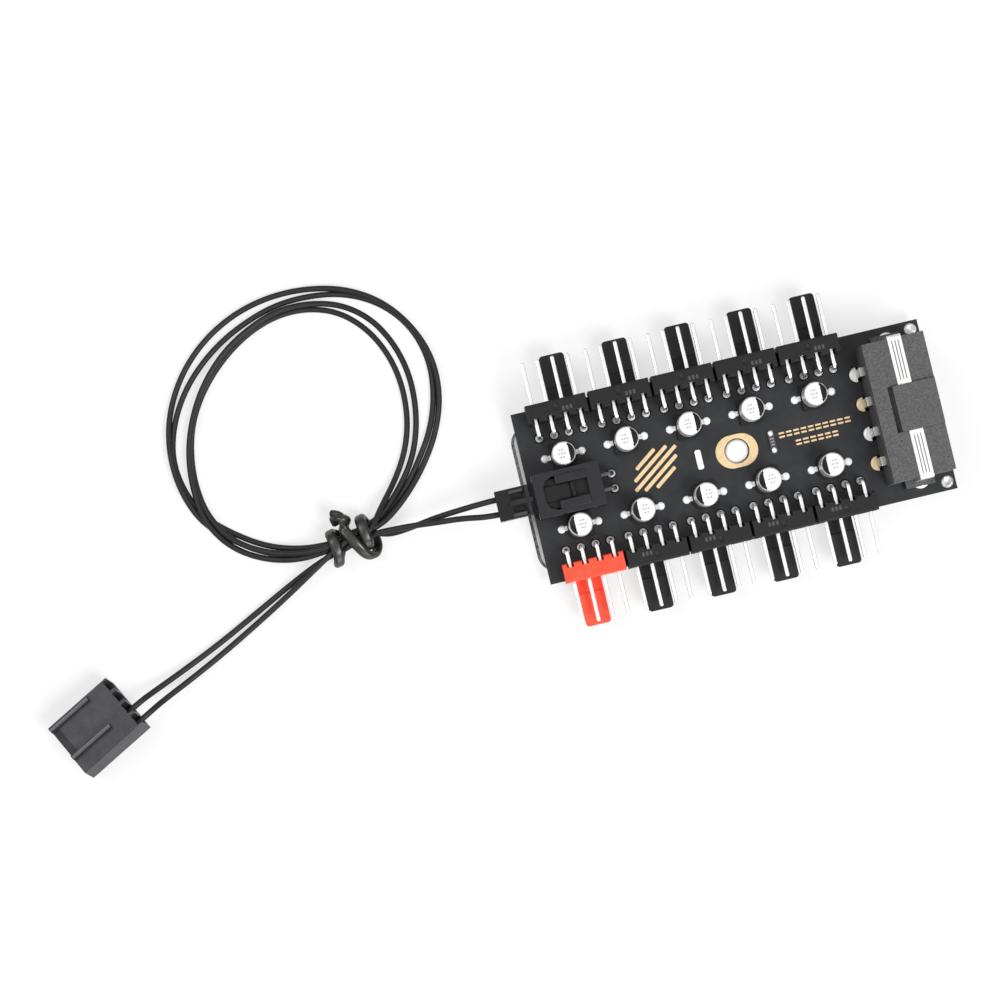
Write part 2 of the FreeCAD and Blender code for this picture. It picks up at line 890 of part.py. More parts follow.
def make_power_pins():
    """Four round pins with pointed ends, a collar at the back wall and a bent tail."""
    lift = size("socket_lift").value + size("socket_height").value / 2
    depth = size("inlet_depth").value
    radius = size("power_pin").value / 2
    setback = size("power_setback").value
    collar = size("power_collar_length").value
    drop = size("board_thickness").value + size("pin_tail").value
    length = depth - size("power_pin_recess").value
    nose = radius
    profile = [
        Vector(0, 0, 0),
        Vector(0, radius, 0),
        Vector(length - nose, radius, 0),
        Vector(length, radius * 0.4, 0),
        Vector(length, 0, 0),
    ]
    shaft = Part.Face(Part.makePolygon(profile + profile[:1])).revolve(Vector(0, 0, 0), Vector(1, 0, 0), 360)
    bend, thin = size("power_bend").value, size("power_tail_width").value
    pins = []
    for offset in power_offsets:
        centre = Vector(0, offset.value, lift)
        pin = shaft.copy()
        pin.translate(centre)
        ring = Part.makeCylinder(
            size("power_collar").value / 2, collar + radius, centre + Vector(radius, 0, 0), Vector(-1, 0, 0)
        )
        tail = bent_round_pin(setback, radius, offset.value, lift, drop, bend, thin)
        pins.append(pin.fuse([ring, tail]).removeSplitter())
    feature = keep(doc.addObject("Part::Feature", "power_pins"), "power_pins")
    feature.Shape = Part.makeCompound(pins)
    place(feature, inlet_rear, size("inlet_across"), board_top)


# Shrouded inlet and the cable plug in it


def make_shroud():
    """Two-pin shroud that lies on the board, open at the board's edge, with a latch window on top."""
    shroud = new_body("input_shroud")
    half = size("shroud_width") / 2
    length = size("shroud_length")
    top = size("shroud_height")
    floor = size("shroud_floor")
    inside = size("plug_width") / 2 + size("shroud_gap")
    ceiling = floor + size("plug_height") + size("shroud_gap") * 2
    window_start = size("window_place")
    wide_end = window_start + size("window_wide_length")
    window_end = window_start + size("window_length")

    def block(sketch):
        rectangle(sketch, 0, -half, length, half)

    def cavity(sketch):
        rectangle(sketch, -inside, floor, inside, ceiling)

    def latch_channel(sketch):
        reach = size("window_narrow") / 2
        rise = size("plug_latch_rise")
        rectangle(sketch, -reach, ceiling - rise, reach, ceiling + rise)

    def window_wide(sketch):
        reach = size("window_wide") / 2
        cut = size("window_round")
        low, high = -reach, reach
        polygon(
            sketch,
            [
                (window_start, low + cut),
                (window_start + cut * 0.3, low + cut * 0.3),
                (window_start + cut, low),
                (wide_end, low),
                (wide_end, high),
                (window_start + cut, high),
                (window_start + cut * 0.3, high - cut * 0.3),
                (window_start, high - cut),
            ],
        )

    def window_narrow(sketch):
        reach = size("window_narrow") / 2
        rectangle(sketch, wide_end, -reach, window_end, reach)

    def rails(sketch):
        inner = size("window_narrow") / 2
        outer = inner + size("rail_width")
        for side in (-1, 1):
            rectangle(sketch, wide_end, inner * side, window_end, outer * side)

    def bores(sketch):
        reach = size("pin_width") / 2
        for side in (-1, 1):
            y = size("pin_spacing") * side / 2
            rectangle(sketch, y - reach, shroud_pin_lift - reach, y + reach, shroud_pin_lift + reach)

    pad(shroud, "block", "XY_Plane", 0, block, top)
    pad(shroud, "rails", "XY_Plane", top, rails, size("rail_height"))
    pocket(shroud, "cavity", "YZ_Plane", 0, cavity, length - size("shroud_end_wall"), backwards=True)
    pocket(shroud, "latch_channel", "YZ_Plane", 0, latch_channel, window_end, backwards=True)
    pocket(shroud, "window_wide", "XY_Plane", top, window_wide, top - floor)
    pocket(shroud, "window_narrow", "XY_Plane", top, window_narrow, top - floor)
    pocket(shroud, "bores", "YZ_Plane", length, bores, length)
    place(shroud, shroud_mouth, size("shroud_across"), board_top)


def make_cable_plug():
    """Crimp housing of the lead: cavities for two contacts, a latch bar on top and gripping rails."""
    plug = new_body("cable_plug")
    half = size("plug_width") / 2
    length = size("plug_length")
    height = size("plug_height")
    latch = size("plug_latch_width") / 2
    outside = plug_outside

    def block(sketch):
        rectangle(sketch, 0, -half, length, half)

    def bar(sketch):
        rise = height + size("plug_latch_rise")
        hook = rise + size("plug_hook")
        end = latch_end
        start = outside - size("plug_recess_length")
        points = [
            (start, height),
            (end, height),
            (end, hook),
            (end - size("plug_hook_length"), hook),
            (end - size("plug_hook_length") * 1.6, rise),
            (start + size("plug_latch_rise"), rise),
        ]
        polygon(sketch, points)

    def cavities(sketch):
        reach = size("plug_cavity") / 2
        for side in (-1, 1):
            y = size("pin_spacing") * side / 2
            rectangle(sketch, y - reach, height / 2 - reach, y + reach, height / 2 + reach)

    def recesses(sketch):
        inner = latch
        outer = inner + size("plug_recess_width")
        end = outside - size("plug_flange")
        start = end - size("plug_recess_length")
        for side in (-1, 1):
            rectangle(sketch, start, inner * side, end, outer * side)

    pad(plug, "block", "XY_Plane", 0, block, height)
    pad(plug, "bar", "XZ_Plane", -latch, bar, size("plug_latch_width"))
    pocket(plug, "cavities", "YZ_Plane", length, cavities, length)
    pocket(plug, "recesses", "XY_Plane", height, recesses, size("plug_recess_width") / 2)
    place(plug, plug_rear, size("shroud_across"), board_top + size("shroud_floor") + size("shroud_gap"))


plug_tip = shroud_rear - size("shroud_end_wall")
plug_rear = plug_tip - size("plug_length")
plug_outside = shroud_mouth - plug_rear
latch_end = plug_outside + size("window_length") - size("plug_recess_length") + size("window_place")


def make_contact_boxes(label, rows, cavity, start, length, bore, x, y, z):
    """Crimp contacts: a square sleeve in each cavity."""
    contacts = new_body(label, several=True)

    def sleeves(sketch):
        reach = size(cavity) / 2
        for row, height in rows:
            rectangle(sketch, row - reach, height - reach, row + reach, height + reach)

    def holes(sketch):
        reach = size(bore) / 2
        for row, height in rows:
            rectangle(sketch, row - reach, height - reach, row + reach, height + reach)

    pad(contacts, "sleeves", "YZ_Plane", start, sleeves, length)
    pocket(contacts, "holes", "YZ_Plane", start + length, holes, length - size("wire_entry") / 2)
    place(contacts, x, y, z)
    return contacts


def make_fan_plug():
    """Four-way crimp housing: ribs that straddle a header's tongue, cavities and contact windows."""
    plug = new_body("fan_plug")
    half = size("pin_spacing") * PIN_COUNT / 2
    length = size("fan_plug_length")
    thick = size("fan_plug_thickness")
    cavity = size("fan_plug_cavity") / 2
    tongue_side = size("pin_spacing") / 2
    rib_gap = (size("tongue_width") + size("wire_diameter")) / 2

    def block(sketch):
        rectangle(sketch, -length, -half, 0, half)

    def ribs(sketch):
        for inner in (tongue_side + rib_gap, tongue_side - rib_gap - size("fan_rib_width")):
            rectangle(sketch, -length, inner, size("fan_rib_length") - length, inner + size("fan_rib_width"))

    def lead_in(sketch):
        depth = size("fan_lead_in_depth")
        points = [(-length, thick), (-length, thick - depth), (size("fan_lead_in") - length, thick)]
        polygon(sketch, points)

    def cavities(sketch):
        for offset in pin_offsets:
            rectangle(sketch, offset - cavity, thick / 2 - cavity, offset + cavity, thick / 2 + cavity)

    def mouths(sketch):
        reach = size("fan_plug_mouth") / 2
        for offset in pin_offsets:
            rectangle(sketch, offset - reach, thick / 2 - reach, offset + reach, thick / 2 + reach)

    def windows(sketch):
        reach = size("fan_plug_mouth") / 2
        for offset in pin_offsets:
            rectangle(sketch, -length * 0.62, offset - reach, -length * 0.42, offset + reach)

    pad(plug, "block", "XY_Plane", 0, block, thick)
    pad(plug, "ribs", "XY_Plane", thick, ribs, size("fan_rib_height"))
    between = rib_gap * 2
    pocket(plug, "lead_in", "XZ_Plane", -(tongue_side - rib_gap), lead_in, between, backwards=False)
    pocket(plug, "cavities", "YZ_Plane", 0, cavities, length - size("fan_plug_wall"))
    pocket(plug, "mouths", "YZ_Plane", 0, mouths, length)
    pocket(plug, "windows", "XY_Plane", 0, windows, thick / 2 - cavity, backwards=True)
    return plug


# Chip parts


def make_chips():
    resistor = new_body("chip_resistor")
    half_length = size("resistor_length") / 2
    half_width = size("resistor_width") / 2
    height = size("resistor_height")

    def body_outline(sketch):
        rectangle(sketch, -half_width, -half_length, half_width, half_length)

    def waist(sketch):
        inner = half_length - size("resistor_cap")
        rectangle(sketch, -inner, height - size("plating"), inner, height + size("plating"))

    pad(resistor, "chip", "XY_Plane", 0, body_outline, height)
    pocket(resistor, "waist", "YZ_Plane", half_width, waist, size("resistor_width"))
    place(resistor, size("resistor_place"), size("resistor_across"), board_top)
    bar = new_body("white_chip")
    half_long = size("bar_length") / 2
    half_wide = size("bar_width") / 2

    def bar_outline(sketch):
        rectangle(sketch, -half_wide, -half_long, half_wide, half_long)

    pad(bar, "bar", "XY_Plane", 0, bar_outline, size("bar_height"))
    round_edges(bar, "corners", size("bar_corner"), lambda edge: runs_along(edge, Vector(0, 0, 1)))
    place(bar, size("bar_place"), 0, board_top)


# Solder


def solder_joint(pad_diameter, hole, fillet, below, thickness, bore):
    """Solder in a plated hole: a fillet on top, the filled hole and a taller fillet underneath."""
    outer, inner = pad_diameter / 2, hole / 2
    rim = size("joint_rim").value
    profile = [
        Vector(0, 0, fillet),
        Vector(inner * 0.9, 0, fillet),
        Vector(outer, 0, rim),
        Vector(outer, 0, 0),
        Vector(inner, 0, 0),
        Vector(inner, 0, -thickness),
        Vector(outer, 0, -thickness),
        Vector(inner * 0.9, 0, -thickness - below),
        Vector(0, 0, -thickness - below),
    ]
    joint = Part.Face(Part.makePolygon(profile + profile[:1])).revolve(Vector(0, 0, 0), Vector(0, 0, 1), 360)
    return joint.cut(bore)


def make_solder():
    thickness = size("board_thickness").value
    below = size("pin_tail").value * 0.7
    width = size("pin_width").value
    deep = thickness * 4
    square = Part.makeBox(width, width, deep * 2, Vector(-width / 2, -width / 2, -deep))
    rise = size("joint_rise").value
    small = solder_joint(size("pin_pad").value, size("pin_hole").value, rise, below, thickness, square)
    columns = [x + offset for x in header_places for offset in pin_offsets]
    spots = [(x, pin_hole_row * side) for side in (-1, 1) for x in columns]
    spots += [(shroud_hole_column, y) for y in shroud_pin_rows]
    joints = []
    for x, y in spots:
        joint = small.copy()
        joint.translate(Vector(x.value, y.value, 0))
        joints.append(joint)
    tail = Part.makeCylinder(size("power_tail_width").value / 2, deep * 2, Vector(0, 0, -deep))
    wide = size("power_pad").value
    rise = size("power_joint_rise").value
    large = solder_joint(wide, size("power_hole").value, rise, below, thickness, tail)
    large = large.cut(Part.makeBox(wide, wide * 2, wide, Vector(size("power_setback").value, -wide, 0)))
    for offset in power_offsets:
        joint = large.copy()
        joint.translate(Vector(power_hole_column.value, (size("inlet_across") + offset).value, 0))
        joints.append(joint)
    peg_length = thickness + size("plating").value * 2
    peg = Part.makeCylinder(size("peg_pad").value / 2, peg_length, Vector(0, 0, -thickness))
    clip_thick = size("clip_thickness").value
    clip_wide = size("clip_width").value
    leg = Part.makeBox(clip_wide, clip_thick, deep * 2, Vector(-clip_wide / 2, -clip_thick / 2, -deep))
    filled = Part.makeCylinder(size("clip_hole").value / 2, thickness, Vector(0, 0, -thickness)).cut(leg)
    for side in (-1, 1):
        stud = peg.copy()
        stud.translate(Vector(peg_column.value, (size("peg_across") * side).value, 0))
        joints.append(stud)
        fill = filled.copy()
        fill.translate(Vector(clip_column.value, (size("inlet_across") + clip_hole_row * side).value, 0))
        joints.append(fill)
    feature = keep(doc.addObject("Part::Feature", "solder_joints"), "solder_joints")
    feature.Shape = Part.makeCompound(joints)
    place(feature, 0, 0, board_top)


def make_capacitor_solder():
    """A drop of solder on the outer end of each flat lead."""
    radius = size("blob_diameter").value / 2
    height = size("blob_height").value
    reach = size("terminal_span").value / 2
    half = size("base_side").value / 2
    width = size("terminal_width").value
    thick = size("terminal_thickness").value
    dome_radius = (radius**2 + height**2) / (2 * height)
    ball = Part.makeSphere(dome_radius, Vector(0, 0, height - dome_radius))
    drop = ball.common(Part.makeBox(radius * 4, radius * 4, height * 2, Vector(-radius * 2, -radius * 2, 0)))
    drops = []
    for side in (-1, 1):
        for x in capacitor_places:
            for way in (-1, 1):
                blob = drop.copy()
                blob.translate(Vector(way * (half + radius), 0, 0))
                lead = Part.makeBox(reach * 2, width, thick, Vector(-reach, -width / 2, 0))
                blob = blob.cut(lead)
                blob.translate(Vector(x.value, (size("capacitor_row") * side).value, 0))
                drops.append(blob)
    feature = keep(doc.addObject("Part::Feature", "capacitor_solder"), "capacitor_solder")
    feature.Shape = Part.makeCompound(drops)
    place(feature, 0, 0, board_top)


# Wires, coil and twist tie

# Edges of the coil's bundle: angle round the coil's middle, inner radius, outer radius, height of its middle.
COIL_BUNDLE = [
    (255, 19.75, 23.05, 2.5),
    (235, 20.4, 24.4, 1.7),
    (210, 21.4, 23.7, 1.25),
    (180, 18.9, 23.45, 1.1),
    (150, 17.55, 23.0, 1.1),
    (120, 17.45, 22.85, 1.1),
    (90, 19.1, 23.5, 1.1),
    (60, 19.95, 24.95, 1.1),
    (30, 18.55, 25.55, 1.1),
    (0, 17.3, 24.2, 1.25),
    (-30, 17.1, 21.75, 1.7),
    (-53, 17.9, 20.9, 2.5),
]

# Route points of the four free stretches of wire, between the pieces that hold their ends.
LEAD_NEAR = [(-46.8, -0.5, 6.7), (-51.2, -0.15, 5.8), (-55.1, 0.3, 4.8), (-59.0, 0.5, 3.9)]
LEAD_FAR = [(-47.2, 0.95, 6.0), (-51.3, 0.7, 4.7), (-55.2, 0.15, 3.4), (-59.2, -0.2, 2.5)]
TAIL_NEAR = [
    (-73.4, -3.3, 2.9),
    (-78.0, -6.0, 1.6),
    (-84.2, -9.4, 0.7),
    (-90.8, -12.9, 0.6),
    (-97.2, -16.0, 1.2),
    (-102.6, -18.5, 3.0),
]
TAIL_FAR = [
    (-73.4, -2.6, 1.5),
    (-78.4, -4.9, 0.7),
    (-84.8, -8.1, 0.55),
    (-91.5, -11.4, 0.6),
    (-98.4, -14.4, 1.1),
    (-103.9, -16.7, 2.7),
]

tie_bearing = math.radians(size("tie_turn").value)
tie_axis = Vector(math.cos(tie_bearing), math.sin(tie_bearing), 0)
tie_across = Vector(-tie_axis.y, tie_axis.x, 0)
tie_radius = size("bundle_diameter").value / 2 + size("tie_clearance").value + size("tie_thickness").value / 2
tie_middle = Vector(size("tie_x").value, size("tie_y").value, tie_radius + size("tie_thickness").value / 2)


# Feet and heads of the tie's twisted ends, from the middle of the tie.
TIE_ENDS = [((-0.6, 1.2, 2.6), (-2.2, 4.9, 2.4)), ((0.2, 2.1, 2.0), (-1.2, 5.0, 2.9))]


# Points on each outline of the coil's bundle
OVAL_POINTS = 12


def bundle_section(centre, across, half_width, half_height):
    """An upright oval outline of the bundle, square to its run."""
    points = []
    for n in range(OVAL_POINTS):
        angle = 2 * math.pi * n / OVAL_POINTS
        aside = across * (half_width * math.cos(angle))
        points.append(centre + aside + Vector(0, 0, half_height * math.sin(angle)))
    oval = Part.BSplineCurve()
    oval.interpolate(points, PeriodicFlag=True)
    return Part.Wire(oval.toShape())


def make_coil():
    """The outer shape of the two turns of both wires, drawn together under the tie."""
    centre = Vector(size("coil_x").value, size("coil_y").value, 0)
    half_height = size("coil_height").value / 2
    bundle = size("bundle_diameter").value / 2
    half_tie = size("tie_length").value / 2
    left_end, right_end = tie_middle - tie_axis * half_tie, tie_middle + tie_axis * half_tie
    sections = [bundle_section(left_end, -tie_across, bundle, bundle)]
    for angle, inner, outer, lift in COIL_BUNDLE:
        turn = math.radians(angle)
        outward = Vector(math.cos(turn), math.sin(turn), 0)
        middle = centre + outward * ((inner + outer) / 2) + Vector(0, 0, lift)
        sections.append(bundle_section(middle, outward, (outer - inner) / 2, half_height))
    sections.append(bundle_section(right_end, -tie_across, bundle, bundle))
    turns = Part.makeLoft(sections, True, False)
    through_tie = Part.makeLoft([sections[-1], sections[0]], True, True)
    coil = turns.fuse(through_tie)
    if len(coil.Solids) != 1 or not coil.isValid():
        raise ValueError("the coil isn't one sound solid")
    coil = coil.Solids[0]
    feature = keep(doc.addObject("Part::Feature", "wire_coil"), "wire_coil")
    feature.Shape = coil
    return coil


def make_wire(label, points, coil):
    """A plain tube of wire along straight runs and tangent arcs, ended against the coil."""
    path = tangent_path(points)
    radius = size("wire_diameter").value / 2
    along = points[1] - points[0]
    section = Part.Wire(Part.makeCircle(radius, points[0], along))
    tube = path.makePipeShell([section], True, False)
    expected = math.pi * radius**2 * path.Length
    if abs(tube.Volume - expected) > ALLOWED_CORD_ERROR * expected:
        raise ValueError("%s: volume %.2f, expected %.2f" % (label, tube.Volume, expected))
    bends = [edge.Curve.Radius for edge in path.Edges if edge.Curve.TypeId == "Part::GeomCircle"]
    print("%s length %.1f bend radii %s" % (label, path.Length, [round(bend, 1) for bend in bends]))
    free = tube.cut(coil)
    solids = sorted(free.Solids, key=lambda solid: solid.Volume)
    feature = keep(doc.addObject("Part::Feature", label), label)
    feature.Shape = solids[-1]


def make_twist_tie():
    """Plastic-coated strip wound round the bundle, with its two ends twisted off to one side."""
    thick = size("tie_thickness").value
    lead = size("tie_lead").value
    height = lead * size("tie_turns").value
    helix = Part.makeHelix(lead, height, tie_radius)
    start = Vector(tie_radius, 0, 0)
    climb = math.atan2(lead, 2 * math.pi * tie_radius)
    broad = Vector(0, math.sin(climb), -math.cos(climb)) * (size("tie_strip_width").value / 2)
    section = Part.Wire(Part.Ellipse(start + broad, start + Vector(thick / 2, 0, 0), start).toShape())
    winding = Part.Wire(helix).makePipeShell([section], True, True)
    winding.translate(Vector(0, 0, -height / 2))
    upright = FreeCAD.Matrix()
    columns = (tie_across, Vector(0, 0, 1), tie_axis)
    for column, direction in enumerate(columns, start=1):
        for row, number in enumerate(direction, start=1):
            setattr(upright, "A%d%d" % (row, column), number)
    winding.Placement = Placement(tie_middle, Placement(upright).Rotation).multiply(winding.Placement)
    radius = size("tie_end_diameter").value / 2
    ends = []
    for foot, head in TIE_ENDS:
        foot, head = tie_middle + Vector(*foot), tie_middle + Vector(*head)
        ends.append(Part.makeCylinder(radius, (head - foot).Length, foot, head - foot))
        ends.append(Part.makeSphere(radius, foot))
    feature = keep(doc.addObject("Part::Feature", "twist_tie"), "twist_tie")
    feature.Shape = winding.fuse(ends)
    if len(feature.Shape.Solids) != 1:
        raise ValueError("the twist tie isn't one solid")


def fan_plug_placement():
    """Where the far plug lies: turned on the table and leaning on one long edge."""
    roll = math.radians(size("fan_plug_roll").value)
    half = size("pin_spacing").value * PIN_COUNT / 2
    turn = Rotation(Vector(0, 0, 1), size("fan_plug_turn").value)
    lean = Rotation(Vector(1, 0, 0), -size("fan_plug_roll").value)
    spot = Vector(size("fan_plug_x").value, size("fan_plug_y").value, half * math.sin(roll))
    return Placement(spot, turn.multiply(lean))


def make_cable():
    coil = make_coil()
    plug_height = (board_top + size("shroud_floor") + size("shroud_gap") + size("plug_height") / 2).value
    entry = size("wire_entry").value
    exits = [Vector(plug_rear.value, y.value, plug_height) for y in shroud_pin_rows]
    half_tie = size("tie_length").value / 2
    right_end = tie_middle + tie_axis * half_tie
    left_end = tie_middle - tie_axis * half_tie
    fan = fan_plug_placement()
    cavity_rows = [pin_offsets[1].value, pin_offsets[0].value]
    far_exits = [fan.multVec(Vector(0, row, size("fan_plug_thickness").value / 2)) for row in cavity_rows]
    far_way = fan.Rotation.multVec(Vector(1, 0, 0))
    near_way = Vector(-1, 0, 0)
    stacked = Vector(0, 0, 0.56)
    leads = ((LEAD_NEAR, exits[0], stacked, "wire_lead_1"), (LEAD_FAR, exits[1], -stacked, "wire_lead_2"))
    for route, start, raised, label in leads:
        points = [start - near_way * entry, start + near_way * 1.6]
        points += [Vector(*spot) for spot in route]
        points.append(right_end - tie_axis + raised)
        make_wire(label, points, coil)
    tails = (
        (TAIL_NEAR, far_exits[1], stacked, "wire_tail_1"),
        (TAIL_FAR, far_exits[0], -stacked, "wire_tail_2"),
    )
    for route, end, raised, label in tails:
        points = [left_end + tie_axis + raised]
        points += [Vector(*spot) for spot in route]
        points += [end + far_way * 1.6, end - far_way * entry]
        make_wire(label, points[::-1], coil)
    make_twist_tie()
    return fan


make_board()
make_plated_ring()
make_pad_layers()
make_fan_headers()
make_capacitors()
make_capacitor_solder()
make_power_inlet()
make_clips()
make_power_pins()
make_shroud()
input_pins = make_pins(
    "input_pins",
    2,
    size("pin_spacing"),
    size("shroud_pin_length"),
    -(size("shroud_end_wall") + size("shroud_pad_setback")),
    shroud_pin_lift,
    shroud_rear - size("shroud_end_wall"),
    size("shroud_across"),
    90.0,
)
make_cable_plug()
make_solder()
make_chips()
plug_rows = [(size("pin_spacing") * side / 2, size("plug_height") / 2) for side in (-1, 1)]
make_contact_boxes(
    "cable_plug_contacts",
    plug_rows,
    "plug_cavity",
    size("wire_entry"),
    size("plug_length") - size("wire_entry") * 2,
    "pin_width",
    plug_rear,
    size("shroud_across"),
    board_top + size("shroud_floor") + size("shroud_gap"),
)
fan = make_cable()
fan_plug = make_fan_plug()
fan_rows = [(pin_offsets[n], size("fan_plug_thickness") / 2) for n in (0, 1)]
fan_contacts = make_contact_boxes(
    "fan_plug_contacts",
    fan_rows,
    "fan_plug_cavity",
    -size("contact_length") - size("wire_entry"),
    size("contact_length"),
    "pin_width",
    0,
    0,
    0,
)
for piece in (fan_plug, fan_contacts):
    for axis in "xyz":
        piece.setExpression("Placement.Base." + axis, None)
    piece.Placement = fan

doc.recompute()
for thing in doc.Objects:
    if "Invalid" in thing.State or "Error" in thing.State:
        raise ValueError("%s didn't recompute: %s" % (thing.Name, thing.State))
os.makedirs("parts", exist_ok=True)
for piece in parts:
    if piece.Shape.isNull() or not piece.Shape.isValid() or not piece.Shape.Solids:
        raise ValueError("%s has no valid solid" % piece.Label)
    piece.Shape.exportStep("parts/%s.step" % piece.Label)
print("%d sub-parts written" % len(parts))
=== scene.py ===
"""Ten-way fan hub: the looks of its board, headers, inlets and tied two-wire lead."""

from __future__ import annotations

import json
import logging
import math
from contextlib import contextmanager
from dataclasses import dataclass
from enum import Enum
from functools import cache
from typing import Callable, Iterator, Sequence

import bpy
from mathutils import Euler, Matrix, Vector

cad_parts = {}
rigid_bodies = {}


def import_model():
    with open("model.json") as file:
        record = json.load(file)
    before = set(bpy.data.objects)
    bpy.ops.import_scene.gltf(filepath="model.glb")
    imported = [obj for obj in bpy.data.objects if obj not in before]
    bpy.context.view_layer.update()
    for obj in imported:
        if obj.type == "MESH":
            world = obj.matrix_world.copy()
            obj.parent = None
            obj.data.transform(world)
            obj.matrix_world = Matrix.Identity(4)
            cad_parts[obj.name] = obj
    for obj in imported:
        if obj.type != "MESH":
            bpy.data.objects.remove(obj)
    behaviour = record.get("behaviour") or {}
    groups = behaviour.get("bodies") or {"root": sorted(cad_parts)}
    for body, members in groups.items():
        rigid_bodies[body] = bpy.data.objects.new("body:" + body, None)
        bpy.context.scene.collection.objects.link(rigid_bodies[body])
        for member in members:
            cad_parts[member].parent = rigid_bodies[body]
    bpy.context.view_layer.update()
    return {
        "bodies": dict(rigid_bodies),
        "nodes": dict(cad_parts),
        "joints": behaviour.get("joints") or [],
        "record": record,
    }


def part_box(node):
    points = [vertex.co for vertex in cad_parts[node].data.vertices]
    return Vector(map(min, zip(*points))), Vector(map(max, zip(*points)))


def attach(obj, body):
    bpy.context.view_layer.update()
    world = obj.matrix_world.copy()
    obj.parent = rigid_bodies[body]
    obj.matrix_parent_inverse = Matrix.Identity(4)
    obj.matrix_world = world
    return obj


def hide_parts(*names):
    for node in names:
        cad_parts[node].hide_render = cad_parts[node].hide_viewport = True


log = logging.getLogger("fan_hub")

MM = 0.001
BODY = "root"
# Height of the circuit board's top face, in millimetres.
BOARD_TOP = 3.92
# How close two vertices are merged, in millimetres.
WELD = 0.002
# Angles in degrees: the bend that counts as flat, the edge that is eased, and the edges that
# stay sharp in the shading of moulded, soldered and turned pieces.
FLAT = 1.5
EASED = 40.0
MOULDED = 35.0
SOLDERED = 50.0
TURNED = 60.0
# How nearly upright an edge is to be rounded, as a share of its length.
UPRIGHT = 0.9
LEVEL = Matrix.Identity(3)
# Faces round a small drop, and steps between two control points of a curve.
DROP_SIDES = 20
CURVE_STEPS = 6
# The share of a noise from which it counts in full, and the least roughness.
NOISE_TOP = 0.7
LEAST_ROUGH = 0.02
# The mix node's two colour inputs and its colour output.
FIRST_COLOUR, SECOND_COLOUR, MIXED_COLOUR = 6, 7, 2

Object = bpy.types.Object
Pair = tuple[float, float]
Triple = tuple[float, float, float]


# Colours, nodes and finishes


def linear(colour: str) -> tuple[float, float, float, float]:
    """Turn an sRGB hex colour to linear light.

    Args:
        colour: The colour, as "#rrggbb".

    Returns:
        Its red, green and blue, and a full alpha.
    """
    # The sRGB standard's own numbers.
    shares = [int(colour[place : place + 2], 16) / 255 for place in (1, 3, 5)]
    red, green, blue = (s / 12.92 if s <= 0.04045 else ((s + 0.055) / 1.055) ** 2.4 for s in shares)
    return red, green, blue, 1.0


def add_node(
    tree: bpy.types.NodeTree, kind: str, inputs: dict | None = None, **settings
) -> bpy.types.Node:
    """Add a node with its settings, and set or link its sockets.

    Args:
        tree: The node tree that takes the node.
        kind: Blender's name for the node, such as "ShaderNodeBump".
        inputs: Socket name or number to a value, or to the output socket that feeds it.
        **settings: The node's own properties.

    Returns:
        The new node.
    """
    node = tree.nodes.new(kind)
    for name, value in settings.items():
        setattr(node, name, value)
    for key, value in (inputs or {}).items():
        if isinstance(value, bpy.types.NodeSocket):
            tree.links.new(value, node.inputs[key])
        else:
            node.inputs[key].default_value = value
    return node


@dataclass(frozen=True)
class Finish:
    """One real material, with the grain and variation that its making leaves.

    Scales are in millimetres. A grain finer than the render shows is drawn at the
    smallest size that still reads.
    """

    name: str
    colour: str
    fleck: str
    roughness: float
    metallic: float = 0.0
    ior: float = 1.5
    mottle_mm: float = 2.0
    mottle_share: float = 0.35
    grain_mm: float = 0.25
    grain_depth_mm: float = 0.004
    rough_spread: float = 0.08
    level: float = 0.5
    streak: Triple = (1.0, 1.0, 1.0)

    @cache
    def build(self) -> bpy.types.Material:
        """Build, once, a broad noise for the flecks and a fine one for roughness and relief.

        Returns:
            The material.
        """
        material = bpy.data.materials.new(self.name)
        material.use_nodes = True
        tree = material.node_tree
        texture = add_node(tree, "ShaderNodeTexCoord").outputs["Object"]
        mapping = {"Vector": texture, "Scale": self.streak}
        place = add_node(tree, "ShaderNodeMapping", mapping).outputs["Vector"]
        lowest = max(self.roughness - self.rough_spread, LEAST_ROUGH)
        highest = min(self.roughness + self.rough_spread, 1.0)
        noises, shares = [], []
        for size, detail, rough, start, least, most in (
            (self.mottle_mm, 4.0, 0.65, 0.35, 0.0, self.mottle_share),
            (self.grain_mm, 3.0, 0.6, 0.3, lowest, highest),
        ):
            cloud = {"Vector": place, "Scale": 1 / (size * MM)}
            cloud |= {"Detail": detail, "Roughness": rough}
            noises.append(add_node(tree, "ShaderNodeTexNoise", cloud).outputs["Fac"])
            span = {"Value": noises[-1], "From Min": start, "From Max": NOISE_TOP}
            span |= {"To Min": least, "To Max": most}
            shares.append(add_node(tree, "ShaderNodeMapRange", span).outputs["Result"])
        colours = {"Factor": shares[0]}
        colours |= {FIRST_COLOUR: linear(self.colour), SECOND_COLOUR: linear(self.fleck)}
        mix = add_node(tree, "ShaderNodeMix", colours, data_type="RGBA")
        relief = {"Height": noises[1], "Strength": 1.0, "Distance": self.grain_depth_mm * MM}
        bump = add_node(tree, "ShaderNodeBump", relief).outputs["Normal"]
        shader = tree.nodes["Principled BSDF"]
        tree.links.new(mix.outputs[MIXED_COLOUR], shader.inputs["Base Color"])
        tree.links.new(shares[1], shader.inputs["Roughness"])
        tree.links.new(bump, shader.inputs["Normal"])
        shader.inputs["Metallic"].default_value = self.metallic
        shader.inputs["Specular IOR Level"].default_value = self.level
        if self.metallic < 0.5:
            shader.inputs["IOR"].default_value = self.ior
        return material


